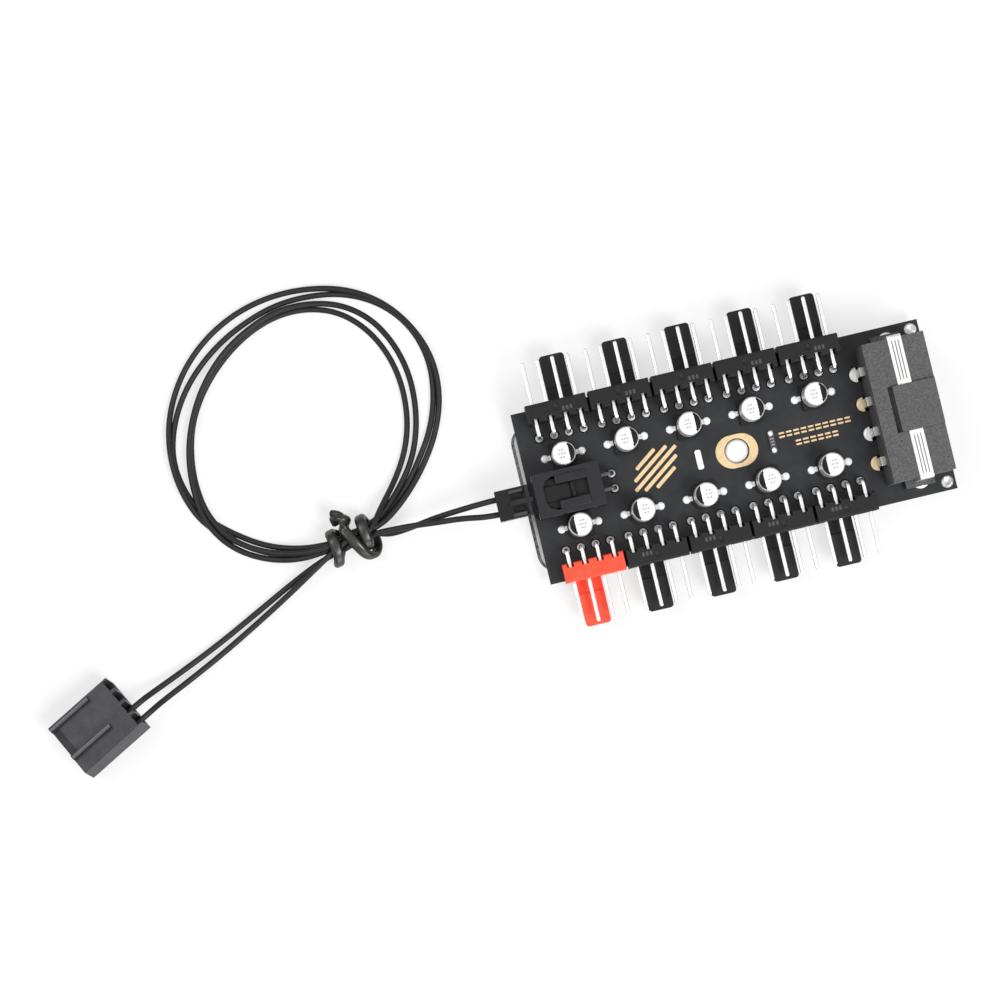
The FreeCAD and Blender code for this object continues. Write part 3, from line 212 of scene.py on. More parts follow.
# Moulded nylon 66: an even satin skin with a faint flow grain.
BLACK_NYLON = Finish(
    "nylon_moulded_black", "#131315", "#1f1f22", 0.42,
    ior=1.44, level=0.3, grain_mm=0.35, grain_depth_mm=0.006,
)
RED_NYLON = Finish(
    "nylon_moulded_red", "#ff4c2f", "#ff7050", 0.4,
    ior=1.44, mottle_mm=3.0, grain_mm=0.4, grain_depth_mm=0.005,
)
# The cable plug's black, darker than the shroud's: painted shade inside the shroud's window.
SHADED_PLUG_NYLON = Finish(
    "nylon_plug_painted_shade", "#101011", "#1c1c1e", 0.42,
    ior=1.44, level=0.28, grain_mm=0.3, grain_depth_mm=0.008,
)
FAR_NYLON = Finish(
    "nylon_moulded_far_plug", "#29292e", "#444449", 0.42,
    level=0.35, mottle_mm=3.0, mottle_share=0.7, grain_mm=0.3,
)
SHROUD_NYLON = Finish(
    "nylon_moulded_shroud", "#1b1b1e", "#2a2a2e", 0.38,
    ior=1.44, level=0.35, grain_mm=0.3, grain_depth_mm=0.008,
)
# Moulded nylon 66 in a paler grey, for the raised figures on the headers' tops.
PALE_MARK_NYLON = Finish("nylon_pale_mark", "#3a3a3d", "#505053", 0.4, mottle_mm=0.8)
# The far plug's rib tops: the same nylon, paler and glossier as painted highlight.
LIT_RIB_NYLON = Finish(
    "nylon_rib_painted_highlight", "#323237", "#45454a", 0.32, level=0.7, mottle_mm=1.5, grain_depth_mm=0.001
)
# PBT moulded with glass filler: a sparkling mat grain over the whole surface.
GRAINED_PBT = Finish(
    "pbt_spark_grained", "#38383a", "#707070", 0.62,
    mottle_mm=0.28, mottle_share=0.7, grain_mm=0.2, grain_depth_mm=0.03,
)
# Solder mask cured over woven glass: satin, with the weave's faint relief.
SOLDER_MASK = Finish(
    "solder_mask_black", "#1f2022", "#343538", 0.38,
    ior=1.44, level=0.35, mottle_mm=3.5, mottle_share=0.5, grain_mm=0.45, grain_depth_mm=0.012,
)
# Tin plated on drawn brass pins: bright, with streaks along the pin.
TINNED_PIN = Finish(
    "tin_plated_brass", "#ececeb", "#ffffff", 0.24,
    metallic=1.0, mottle_mm=0.8, grain_mm=0.3, streak=(4.0, 0.5, 2.0),
)
# Tin plated on turned brass: greyer and even.
POWER_PIN = Finish(
    "tin_plated_turned_brass", "#b9b8b4", "#d8d7d4", 0.28,
    metallic=0.9, mottle_mm=0.8, grain_depth_mm=0.002,
)
# The shroud's pins: the same tinned brass, darkened as painted shade inside the shroud.
SHADED_PIN = Finish(
    "tin_plated_brass_painted_shade", "#4e4f51", "#6a6b6e", 0.4,
    metallic=0.85, mottle_mm=0.8, grain_depth_mm=0.002,
)
# Reflowed tin-silver solder: bright, softly rippled.
SOLDER = Finish(
    "solder_reflowed", "#f2f2f1", "#ffffff", 0.3, metallic=0.4, grain_mm=0.9, grain_depth_mm=0.003
)
# Hand-dipped solder of the pegs: dull, with dark flux between the beads.
PEG_SOLDER = Finish(
    "solder_hand_dipped", "#e4e4e2", "#77787a", 0.4,
    metallic=0.5, mottle_mm=0.45, mottle_share=0.9, grain_mm=0.4,
)
# Flat copper strip dipped in tin.
BARE_TIN = Finish(
    "tinned_copper_strip", "#fcfcfb", "#ffffff", 0.3, metallic=0.12, grain_depth_mm=0.001
)
# Rolled steel strip plated with tin, and the same steel in the shade between its ribs.
CLIP_STEEL = Finish(
    "tin_plated_steel_strip", "#ececea", "#ffffff", 0.3,
    metallic=0.8, mottle_mm=1.0, streak=(3.0, 0.4, 1.0),
)
CLIP_GROOVE = Finish("steel_strip_in_shade", "#6d6e6d", "#8b8c8a", 0.5, metallic=0.5, mottle_mm=0.8)
# Immersion gold over nickel: soft yellow, fine satin.
BOARD_GOLD = Finish(
    "immersion_gold", "#d3b68a", "#e9d3ae", 0.4,
    metallic=0.7, mottle_mm=0.8, mottle_share=0.6, grain_mm=0.2,
)
PAD_GOLD = Finish(
    "gold_plated_pad", "#f0d6ac", "#f8e8cc", 0.35,
    metallic=0.1, mottle_mm=0.8, grain_depth_mm=0.001,
)
# Drawn aluminium can with a lacquered top and printed marks.
CAN_ALUMINIUM = Finish(
    "aluminium_drawn", "#f0f0f1", "#ffffff", 0.28,
    metallic=0.45, mottle_mm=1.5, grain_depth_mm=0.001,
)
CAN_TOP = Finish("aluminium_lacquered_top", "#f7f7f6", "#ececeb", 0.4, metallic=0.1, mottle_mm=1.0)
CAN_MARK = Finish("black_marking_ink", "#0a0a0a", "#121213", 0.5, level=0.2, mottle_mm=0.8)
CAN_PRINT = Finish("grey_marking_ink", "#9a9a9b", "#b4b4b4", 0.5, mottle_mm=0.4)
# Phenolic resin moulded under heat: hard and dull.
PHENOLIC = Finish("phenolic_base", "#0d0d0e", "#161617", 0.55, level=0.25)
# Extruded flexible vinyl: an even satin skin.
WIRE_VINYL = Finish(
    "vinyl_extruded_black", "#242425", "#303031", 0.42,
    level=0.22, grain_mm=0.6, grain_depth_mm=0.003,
)
# Vinyl coated over a soft steel wire: glossier, with a warm cast.
TIE_VINYL = Finish(
    "vinyl_coated_tie", "#171613", "#2d2a25", 0.28,
    level=0.65, mottle_mm=1.6, grain_mm=0.5, grain_depth_mm=0.006,
)
# Closed-cell polyethylene foam: white, with visible cut cells.
WHITE_FOAM = Finish(
    "polyethylene_foam", "#ffffff", "#eeeeec", 0.85,
    mottle_mm=0.6, mottle_share=0.4, grain_mm=0.4, grain_depth_mm=0.03,
)
# The release liner: dark grey with pale streaky flecks, a dark band round the foam's edge.
LINER_PAPER = Finish(
    "liner_dark_grey_flecked", "#2e2e2f", "#a4a4a4", 0.55,
    mottle_mm=0.5, mottle_share=0.9, grain_mm=0.5, grain_depth_mm=0.02,
)
# Fired alumina with a glass glaze.
CERAMIC = Finish("alumina_glazed", "#3b3b3e", "#505054", 0.3)
WHITE_CERAMIC = Finish("ceramic_white", "#fbfbfa", "#f0f0ee", 0.3)


# Mesh helpers


def activate(piece: Object) -> None:
    """Select one piece alone, in object mode, and make it active.

    Args:
        piece: The piece.
    """
    if bpy.context.object is not None and bpy.context.object.mode != "OBJECT":
        bpy.ops.object.mode_set(mode="OBJECT")
    bpy.ops.object.select_all(action="DESELECT")
    piece.select_set(True)
    bpy.context.view_layer.objects.active = piece


@contextmanager
def editing(piece: Object) -> Iterator[None]:
    """Edit a piece with its whole mesh selected, and go back to object mode after.

    Args:
        piece: The piece.
    """
    activate(piece)
    bpy.ops.object.mode_set(mode="EDIT")
    bpy.ops.mesh.select_all(action="SELECT")
    yield
    bpy.ops.object.mode_set(mode="OBJECT")


def add_object(name: str, data: bpy.types.ID) -> Object:
    """Add an object to the scene.

    Args:
        name: Its name.
        data: Its mesh, curve, light or camera.

    Returns:
        The object.
    """
    added = bpy.data.objects.new(name, data)
    bpy.context.collection.objects.link(added)
    return added


def box_of(node: str) -> tuple[Vector, Vector]:
    """Lowest and highest corner of a CAD node, in millimetres."""
    low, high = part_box(node)
    return Vector(low) / MM, Vector(high) / MM


def settle(piece: Object, place: Sequence[float] | None = None) -> None:
    """Apply a piece's transform.

    Args:
        piece: The piece.
        place: Where it goes first, in millimetres.
    """
    if place is not None:
        piece.location = Vector(place) * MM
    activate(piece)
    bpy.ops.object.transform_apply(location=True, rotation=True, scale=True)


def apply_modifiers(piece: Object) -> None:
    """Apply every modifier that a piece carries.

    Args:
        piece: The piece.
    """
    activate(piece)
    for modifier in list(piece.modifiers):
        bpy.ops.object.modifier_apply(modifier=modifier.name)


def smooth(piece: Object, degrees: float = MOULDED) -> None:
    """Shade a piece smooth, with its flat faces kept flat.

    Args:
        piece: The piece.
        degrees: The bend from which an edge stays sharp.
    """
    activate(piece)
    bpy.ops.object.shade_smooth_by_angle(angle=math.radians(degrees))
    weigh = piece.modifiers.new("weigh", "WEIGHTED_NORMAL")
    weigh.keep_sharp = True
    apply_modifiers(piece)


def ease_edges(piece: Object, width_mm: float) -> None:
    """Round a piece's sharp edges.

    Args:
        piece: The piece.
        width_mm: How far they are eased.
    """
    ease = piece.modifiers.new("ease", "BEVEL")
    ease.width = width_mm * MM
    ease.segments = 2
    ease.limit_method = "ANGLE"
    ease.angle_limit = math.radians(EASED)
    ease.use_clamp_overlap = True
    apply_modifiers(piece)


def pick_faces(piece: Object, test: Callable[[Vector, Vector], bool]) -> None:
    """Select the faces whose centre, in millimetres, and normal pass a test, in edit mode.

    Args:
        piece: The piece, at the origin.
        test: Takes a face's centre and normal.
    """
    activate(piece)
    for group in (piece.data.vertices, piece.data.edges, piece.data.polygons):
        group.foreach_set("select", [False] * len(group))
    for face in piece.data.polygons:
        face.select = test(face.center / MM, face.normal)
    bpy.ops.object.mode_set(mode="EDIT")
    bpy.ops.mesh.select_mode(type="FACE")


def face_outwards(piece: Object) -> None:
    """Merge a closed piece's doubles and turn its faces outwards.

    Args:
        piece: The piece.
    """
    with editing(piece):
        bpy.ops.mesh.remove_doubles(threshold=WELD * MM)
        bpy.ops.mesh.normals_make_consistent(inside=False)


def trim(piece: Object, axis: int, place: float, keep_beyond: bool = False) -> None:
    """Cut a piece square to an axis, keep one side and close the cut.

    Args:
        piece: The piece.
        axis: The axis's number, from 0 to 2.
        place: Where the cut goes, in millimetres.
        keep_beyond: Whether the side beyond the cut stays, not the one before it.
    """
    normal = Vector([float(number == axis) for number in range(3)])
    with editing(piece):
        bpy.ops.mesh.bisect(
            plane_co=normal * place * MM,
            plane_no=normal,
            clear_inner=keep_beyond,
            clear_outer=not keep_beyond,
            use_fill=True,
        )


def dress(piece: Object, finish: Finish, slot: str, *nodes: str) -> Object:
    """Give a new piece its finish and its body, and hide the nodes that it stands for.

    Args:
        piece: The new piece.
        finish: What it is made of, unless it has its materials.
        slot: The record's material slot; not used.
        *nodes: The CAD nodes that it replaces.

    Returns:
        The piece.
    """
    if not piece.data.materials:
        piece.data.materials.append(finish.build())
    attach(piece, BODY)
    if nodes:
        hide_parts(*nodes)
    log.info("made %s", piece.name)
    return piece


def rounded_copy(frame: dict, node: str, name: str, width_mm: float) -> Object:
    """Copy a CAD node as a merged mesh whose sharp edges are eased.

    Args:
        node: The CAD node.
        name: The new piece's name.
        width_mm: How far the edges are eased, or 0 for sharp ones.

    Returns:
        The new piece.
    """
    piece = add_object(name, frame["nodes"][node].data.copy())
    piece.data.materials.clear()
    with editing(piece):
        bpy.ops.mesh.remove_doubles(threshold=WELD * MM)
        bpy.ops.mesh.dissolve_limited(angle_limit=math.radians(FLAT))
    if width_mm:
        ease_edges(piece, width_mm)
    smooth(piece)
    return piece


def duplicate(piece: Object, name: str, shift: Sequence[float], turned: bool = False) -> Object:
    """Copy a piece with its own mesh to another place.

    Args:
        piece: The piece to copy.
        name: The copy's name.
        shift: How far it moves, in millimetres.
        turned: Whether it turns half round the vertical axis before it moves.

    Returns:
        The copy.
    """
    copy = add_object(name, piece.data.copy())
    copy.rotation_euler = (0, 0, math.pi if turned else 0)
    settle(copy, shift)
    return copy


def repeat(pattern: Object, places: Sequence[Sequence[float]]) -> list[Object]:
    """Copy a piece from the origin to some places, and remove it.

    Args:
        pattern: The piece.
        places: Where the copies go, in millimetres.

    Returns:
        The copies.
    """
    copies = [duplicate(pattern, pattern.name, place) for place in places]
    bpy.data.objects.remove(pattern)
    return copies


def turn_up(name: str, profile: Sequence[Pair], sides: int = 40) -> Object:
    """Raise a round piece ring by ring, each extruded from the last and scaled.

    Args:
        name: The piece's name.
        profile: Radius and height of each ring, in millimetres.
        sides: Faces round it.

    Returns:
        The piece, standing on the origin.
    """
    radius, height = profile[0]
    bpy.ops.mesh.primitive_circle_add(
        vertices=sides, radius=radius * MM, fill_type="NGON", location=(0, 0, height * MM)
    )
    piece = bpy.context.object
    piece.name = name
    settle(piece)
    with editing(piece):
        for (radius, height), (wider, higher) in zip(profile, profile[1:]):
            rise = (0, 0, (higher - height) * MM)
            bpy.ops.mesh.extrude_region_move(TRANSFORM_OT_translate={"value": rise})
            scale = (wider / radius, wider / radius, 1)
            bpy.ops.transform.resize(value=scale, center_override=(0, 0, higher * MM))
    face_outwards(piece)
    return piece


def lay_drops(
    name: str, profile: Sequence[Pair], places: Sequence[Triple], finish: Finish, *nodes: str
) -> None:
    """Turn up one drop of solder and copy it to each place, as one dressed piece.

    Args:
        name: The piece's name.
        profile: Radius and height of the drop's rings, in millimetres.
        places: Where the drops stand.
        finish: What they are made of.
        *nodes: The CAD nodes that they replace.
    """
    drops = join(name, repeat(turn_up("drop", profile, DROP_SIDES), places))
    smooth(drops, SOLDERED)
    dress(drops, finish, "solder", *nodes)


def join(name: str, pieces: Sequence[Object]) -> Object:
    """Join pieces into the first one.

    Args:
        name: The joined piece's name.
        pieces: The pieces.

    Returns:
        The joined piece.
    """
    activate(pieces[0])
    for piece in pieces:
        piece.select_set(True)
    bpy.ops.object.join()
    pieces[0].name = name
    return pieces[0]


def make_bar(
    name: str, sides: Triple, rounding: float = 0.3, centre: Triple = (0, 0, 0), degrees: float = 0
) -> Object:
    """Make a thin flat bar with rounded upright edges.

    Args:
        name: The piece's name.
        sides: Its length, width and thickness, in millimetres.
        rounding: Corner radius as a share of the shorter side.
        centre: Its middle.
        degrees: How far it is turned about the vertical.

    Returns:
        The bar.
    """
    bpy.ops.mesh.primitive_cube_add(
        size=1,
        location=Vector(centre) * MM,
        rotation=(0, 0, math.radians(degrees)),
        scale=Vector(sides) * MM,
    )
    bar = bpy.context.object
    bar.name = name
    settle(bar)
    with editing(bar):
        bpy.ops.mesh.select_mode(type="EDGE")
        bpy.ops.mesh.select_all(action="DESELECT")
    for edge in bar.data.edges:
        start, end = (bar.data.vertices[index].co for index in edge.vertices)
        edge.select = abs((end - start).normalized().z) > UPRIGHT
    bpy.ops.object.mode_set(mode="EDIT")
    bpy.ops.mesh.bevel(offset=min(sides[:2]) * rounding * MM, segments=3)
    bpy.ops.object.mode_set(mode="OBJECT")
    return bar


def cut_box(piece: Object, centre: Sequence[float], sides: Triple, turn: Matrix = LEVEL) -> None:
    """Cut a box-shaped hollow out of a piece.

    Args:
        piece: The piece.
        centre: The box's middle, in millimetres.
        sides: Its three sides.
        turn: How it is turned.
    """
    bpy.ops.mesh.primitive_cube_add(
        size=1, location=Vector(centre) * MM, rotation=turn.to_euler(), scale=Vector(sides) * MM
    )
    cutter = bpy.context.object
    cut = piece.modifiers.new("hollow", "BOOLEAN")
    cut.operation = "DIFFERENCE"
    cut.object = cutter
    apply_modifiers(piece)
    bpy.data.objects.remove(cutter)


def lay_curve(name: str, points: Sequence[Vector]) -> Object:
    """Lay one open smooth spline.

    Args:
        name: The curve's name.
        points: Its control points, in metres.

    Returns:
        The curve.
    """
    data = bpy.data.curves.new(name, "CURVE")
    data.dimensions = "3D"
    spline = data.splines.new("NURBS")
    spline.points.add(len(points) - 1)
    for target, point in zip(spline.points, points):
        target.co = (*point, 1.0)
    spline.order_u = 3
    spline.use_endpoint_u = True
    data.resolution_u = CURVE_STEPS
    return add_object(name, data)


def read_curve(curve: Object) -> list[Vector]:
    """Read the points that a curve's own smooth line passes through.

    Args:
        curve: The curve.

    Returns:
        The points, in metres.
    """
    depth = curve.data.bevel_depth
    curve.data.bevel_depth = 0
    line = bpy.data.meshes.new_from_object(curve)
    points = [vertex.co.copy() for vertex in line.vertices]
    bpy.data.meshes.remove(line)
    curve.data.bevel_depth = depth
    return points


# The lead: two wires, their coil, the tie and the plugs


@dataclass
class TieGeometry:
    """Where the tie holds the bundle of six strands, in millimetres and degrees."""

    centre: Pair = (-65.8, 0.5)
    turn: float = 12.7
    radius: float = 2.22
    thickness: float = 1.3
    length: float = 9.2
    strand_ring: float = 1.03
    strand_turn: float = -144.0
    first_strand: float = 36.0
    strand_spacing: float = 72.0
    shares: tuple[float, ...] = (0.04, 0.28, 0.5, 0.72, 0.96)

    @property
    def middle(self) -> Vector:
        """Middle of the bundle, in millimetres."""
        return Vector((*self.centre, self.radius + self.thickness / 2))

    @property
    def axis(self) -> Vector:
        """Direction of the bundle, towards the board."""
        return Vector((math.cos(math.radians(self.turn)), math.sin(math.radians(self.turn)), 0))

    @property
    def outward(self) -> Vector:
        """Direction square to the bundle, away from the coil's middle."""
        return Vector((math.sin(math.radians(self.turn)), -math.cos(math.radians(self.turn)), 0))

    def strand(self, slot: int | None) -> list[Vector]:
        """Points of one strand that passes through the tie from the board's side.

        Args:
            slot: Which of the five outer places it enters at, or None for the middle.

        Returns:
            Its points, in millimetres.
        """
        points = []
        for share in self.shares:
            point = self.middle + self.axis * (self.length * (0.5 - share))
            if slot is not None:
                degrees = self.first_strand + self.strand_spacing * slot + self.strand_turn * share
                angle = math.radians(degrees)
                aside = self.outward * math.cos(angle) + Vector((0, 0, math.sin(angle)))
                point += aside * self.strand_ring
            points.append(point)
        return points


# Radius and height of each strand round the coil's middle, every 15 degrees from the tie,
# clockwise, in millimetres.
COIL_ANGLES = tuple(range(255, -61, -15))
COIL_TURNS = {
    "first_outer": (
        (21.7, 1.3), (22.1, 0.6), (22.4, 0.5), (23.4, 0.5), (23.2, 1.4), (22.95, 1.45),
        (22.75, 0.9), (22.5, 0.5), (22.35, 0.5), (22.35, 0.5), (22.55, 0.5), (22.95, 0.5),
        (23.6, 0.5), (24.5, 1.0), (25.1, 1.4), (25.1, 1.5), (24.8, 1.35), (23.75, 0.8),
        (22.4, 0.5), (21.3, 0.5), (20.9, 1.1), (21.1, 2.2),
    ),
    "first_inner": (
        (20.5, 1.9), (20.9, 0.8), (21.3, 0.5), (22.4, 0.5), (22.8, 0.5), (22.7, 0.5), (21.8, 0.5),
        (20.95, 0.5), (20.3, 0.5), (20.1, 0.5), (20.35, 0.5), (21.25, 0.5), (22.3, 0.5),
        (23.75, 0.5), (24.8, 0.5), (25.0, 0.5), (24.2, 0.5), (22.7, 0.5), (21.35, 0.5),
        (20.2, 0.5), (20.1, 0.6), (20.4, 1.25),
    ),
    "second_outer": (
        (22.4, 2.4), (23.2, 1.3), (23.6, 0.7), (22.9, 1.4), (21.1, 1.35), (19.8, 1.45),
        (18.8, 1.5), (18.3, 1.45), (18.2, 1.4), (18.5, 1.35), (19.05, 1.4), (20.2, 1.2),
        (21.0, 1.15), (21.8, 0.5), (21.7, 0.5), (20.9, 0.5), (20.1, 0.5), (19.4, 0.5), (19.1, 0.5),
        (19.1, 0.5), (19.15, 1.0), (19.8, 2.0),
    ),
    "second_inner": (
        (21.4, 2.9), (22.0, 1.6), (22.5, 1.5), (21.9, 1.4), (20.6, 0.5), (19.45, 0.5), (18.7, 0.5),
        (18.05, 0.5), (17.75, 0.5), (17.95, 0.5), (18.6, 0.5), (19.5, 0.5), (20.2, 0.5),
        (20.45, 0.5), (19.9, 0.5), (19.1, 0.5), (18.35, 0.5), (17.8, 0.5), (17.6, 0.5),
        (17.6, 0.5), (17.9, 0.9), (19.0, 2.7),
    ),
}
COIL_CENTRE = (-69.4, 20.8)


def coil_turn(name: str) -> list[Vector]:
    """Follow one strand round the coil.

    Args:
        name: The strand's name in COIL_TURNS.

    Returns:
        Its points, in millimetres.
    """
    x, y = COIL_CENTRE
    points = []
    for angle, (radius, height) in zip(COIL_ANGLES, COIL_TURNS[name]):
        turn = math.radians(angle)
        points.append(Vector((x + radius * math.cos(turn), y + radius * math.sin(turn), height)))
    return points


@dataclass
class TwistTie:
    """Coated wire tie that goes three times over the bundle and ends in a twisted knot.

    The route is in the tie's own frame: along the bundle towards the board, across it
    away from the camera's near side, and up, from the bundle's middle.
    """

    geometry: TieGeometry
    width: float = 1.9
    thickness: float = 1.35
    groove: float = 0.1
    groove_share: float = 0.45
    sides: int = 20
    first_free: int = 3
    last_free: int = 30
    knot_turns: float = 0.75
    route: tuple[Triple, ...] = (
        (-1.0, 5.0, 0.9), (-0.2, 4.4, 1.9), (0.5, 3.3, 1.9), (-0.45, 2.3, 2.0),
        (-0.1, 1.0, 2.25), (0.3, -0.4, 2.3), (0.75, -2.0, 1.9), (1.35, -3.6, 0.8),
        (2.4, -4.2, -0.7), (3.5, -3.1, -1.8), (3.75, -1.2, -2.1), (3.4, 0.8, -2.1),
        (3.1, 2.4, -1.2), (2.85, 2.75, 0.6), (2.7, 1.5, 2.1), (2.6, 0.0, 2.25),
        (2.5, -1.6, 1.9), (2.2, -2.55, 0.4), (1.6, -2.2, -1.4), (0.5, -0.9, -2.15),
        (-1.0, 0.9, -2.15), (-2.3, 2.3, -1.2), (-2.75, 2.65, 0.5), (-2.7, 1.5, 2.1),
        (-2.7, 0.0, 2.25), (-2.9, -1.6, 1.95), (-3.5, -2.9, 0.6), (-3.6, -2.6, -1.2),
        (-2.6, -1.0, -2.15), (-1.2, 1.0, -2.15), (0.0, 2.6, -1.3), (0.9, 3.4, 0.3),
        (0.6, 3.7, 1.9), (-0.5, 3.9, 1.7), (-1.4, 4.0, 0.8),
    )

    def world(self, point: Triple) -> Vector:
        """Turn a route point to the row frame.

        Args:
            point: The point.

        Returns:
            Its place, in metres.
        """
        along, across, up = point
        place = self.geometry.middle + self.geometry.axis * along - self.geometry.outward * across
        return (place + Vector((0, 0, up))) * MM

    def outline(self) -> list[Pair]:
        """Draw the tie's cut: a flat oval with a shallow groove along both faces.

        Returns:
            Its corners, across the tie and out from it, in millimetres.
        """
        points = []
        for step in range(self.sides):
            angle = 2 * math.pi * step / self.sides
            aside, out = math.cos(angle), math.sin(angle)
            groove = self.groove * max(0.0, 1 - (aside / self.groove_share) ** 2)
            height = self.thickness / 2 * out - math.copysign(groove, out)
            points.append((self.width / 2 * aside, height))
        return points

    def build(self) -> None:
        """Lay the outline along the route, turned freely only at the twisted ends."""
        curve = lay_curve("tie_line", [self.world(point) for point in self.route])
        line = read_curve(curve)
        bpy.data.objects.remove(curve)
        axis = self.geometry.axis
        ring = self.outline()
        start = self.first_free / (len(self.route) - 1)
        end = self.last_free / (len(self.route) - 1)
        vertices, faces = [], []
        for number, point in enumerate(line):
            before, after = line[max(number - 1, 0)], line[min(number + 1, len(line) - 1)]
            forward = (after - before).normalized()
            spoke = point - self.geometry.middle * MM
            outward = spoke - axis * spoke.dot(axis)
            outward = (outward - forward * outward.dot(forward)).normalized()
            share = number / (len(line) - 1)
            free = max(start - share, 0) / start + max(share - end, 0) / (1 - end)
            twist = Matrix.Rotation(free * self.knot_turns * 2 * math.pi, 3, forward)
            outward = twist @ outward
            aside = outward.cross(forward)
            vertices += [point + (aside * wide + outward * high) * MM for wide, high in ring]
        count = len(ring)
        for low in range(0, len(vertices) - count, count):
            for place in range(count):
                beside = (place + 1) % count
                faces.append((low + place, low + beside, low + count + beside, low + count + place))
        faces += [tuple(range(count)), tuple(range(len(vertices) - count, len(vertices)))]
        mesh = bpy.data.meshes.new("tie")
        mesh.from_pydata(vertices, [], faces)
        tie = add_object("tie", mesh)
        face_outwards(tie)
        smooth(tie, TURNED)
        dress(tie, TIE_VINYL, "tie_plastic", "twist_tie")


@dataclass
class Wire:
    """One insulated wire from the cable plug, twice round the coil, to the fan plug."""

    name: str
    exit_point: Triple
    lead: tuple[Triple, ...]
    slots: tuple[int | None, int | None, int | None]
    turns: tuple[str, str]
    tail: tuple[Triple, ...]
    nodes: tuple[str, ...]
    diameter: float = 1.0

    def build(self, tie: TieGeometry, end: Sequence[Vector]) -> Object:
        """Make the wire as one open smooth spline.

        Args:
            tie: Where the bundle passes through the tie.
            end: Its last points, in front of the fan plug and inside it.

        Returns:
            The wire.
        """
        first, second, last = (tie.strand(slot) for slot in self.slots)
        outer, inner = (coil_turn(turn) for turn in self.turns)
        points = [Vector(point) for point in self.lead] + first + outer + second + inner + last
        points += [Vector(point) for point in self.tail] + list(end)
        wire = lay_curve(self.name, [point * MM for point in points])
        wire.data.bevel_depth = self.diameter / 2 * MM
        wire.data.bevel_resolution = 4
        wire.data.use_fill_caps = True
        wire.data.materials.append(WIRE_VINYL.build())
        return wire


NEAR_WIRE = Wire(
    name="near_wire",
    exit_point=(-40.75, -1.37, 7.07),
    lead=(
        (-38.75, -1.37, 7.07), (-42.35, -1.37, 7.07), (-46.8, -0.5, 6.7),
        (-51.2, -0.15, 5.8), (-55.1, 0.3, 4.8), (-59.0, 0.5, 3.9),
    ),
    slots=(0, None, 2),
    turns=("first_outer", "second_outer"),
    tail=(
        (-73.4, -3.3, 2.9), (-78.0, -6.0, 1.6), (-84.2, -9.4, 0.7),
        (-90.8, -12.9, 0.6), (-97.2, -16.0, 1.2), (-102.6, -18.5, 3.0),
    ),
    nodes=("wire_lead_1", "wire_tail_1", "wire_coil"),
)
FAR_WIRE = Wire(
    name="far_wire",
    exit_point=(-40.75, 1.17, 7.07),
    lead=(
        (-38.75, 1.17, 7.07), (-42.35, 1.17, 7.07), (-47.2, 0.95, 6.0),
        (-51.3, 0.7, 4.7), (-55.2, 0.15, 3.4), (-59.2, -0.2, 2.5),
    ),
    slots=(4, 3, 1),
    turns=("first_inner", "second_inner"),
    tail=(
        (-73.4, -2.6, 1.5), (-78.4, -4.9, 0.7), (-84.8, -8.1, 0.55),
        (-91.5, -11.4, 0.6), (-98.4, -14.4, 1.1), (-103.9, -16.7, 2.7),
    ),
    nodes=("wire_lead_2", "wire_tail_2"),
)


@dataclass
class FanPlugPlace:
    """How the far plug lies on the table, in millimetres and degrees."""

    foot: Pair = (-107.9, -18.0)
    turn: float = 28.3
    roll: float = 15.0
    half_width: float = 5.08
    thickness: float = 5.0
    front: float = 1.6
    entry: float = 2.0

    @property
    def matrix(self) -> Matrix:
        """Turn of the plug's own frame."""
        turn = Matrix.Rotation(math.radians(self.turn), 3, "Z")
        return turn @ Matrix.Rotation(-math.radians(self.roll), 3, "X")

    def place(self, point: Triple) -> Vector:
        """Turn a point of the plug's own frame to the row frame, in millimetres."""
        lift = self.half_width * math.sin(math.radians(self.roll))
        return self.matrix @ Vector(point) + Vector((*self.foot, lift))

    def wire_end(self, row: float) -> list[Vector]:
        """Points in front of the plug and inside it, of a wire that enters in a row."""
        return [self.place((x, row, self.thickness / 2)) for x in (self.front, -self.entry)]


@dataclass
class Lead:
    """The whole two-wire lead, from the cable plug to the fan plug."""

    tie: TieGeometry
    plug: FanPlugPlace
    rows: tuple[tuple[Wire, float], ...] = ((NEAR_WIRE, -3.81), (FAR_WIRE, -1.27))

    def build(self, plug_pieces: Sequence[Object]) -> None:
        """Args:
            plug_pieces: The fan plug's pieces; not used.
        """
        for wire, row in self.rows:
            piece = wire.build(self.tie, self.plug.wire_end(row))
            points = read_curve(piece)
            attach(piece, BODY)
            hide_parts(*wire.nodes)


# Light, floor and camera


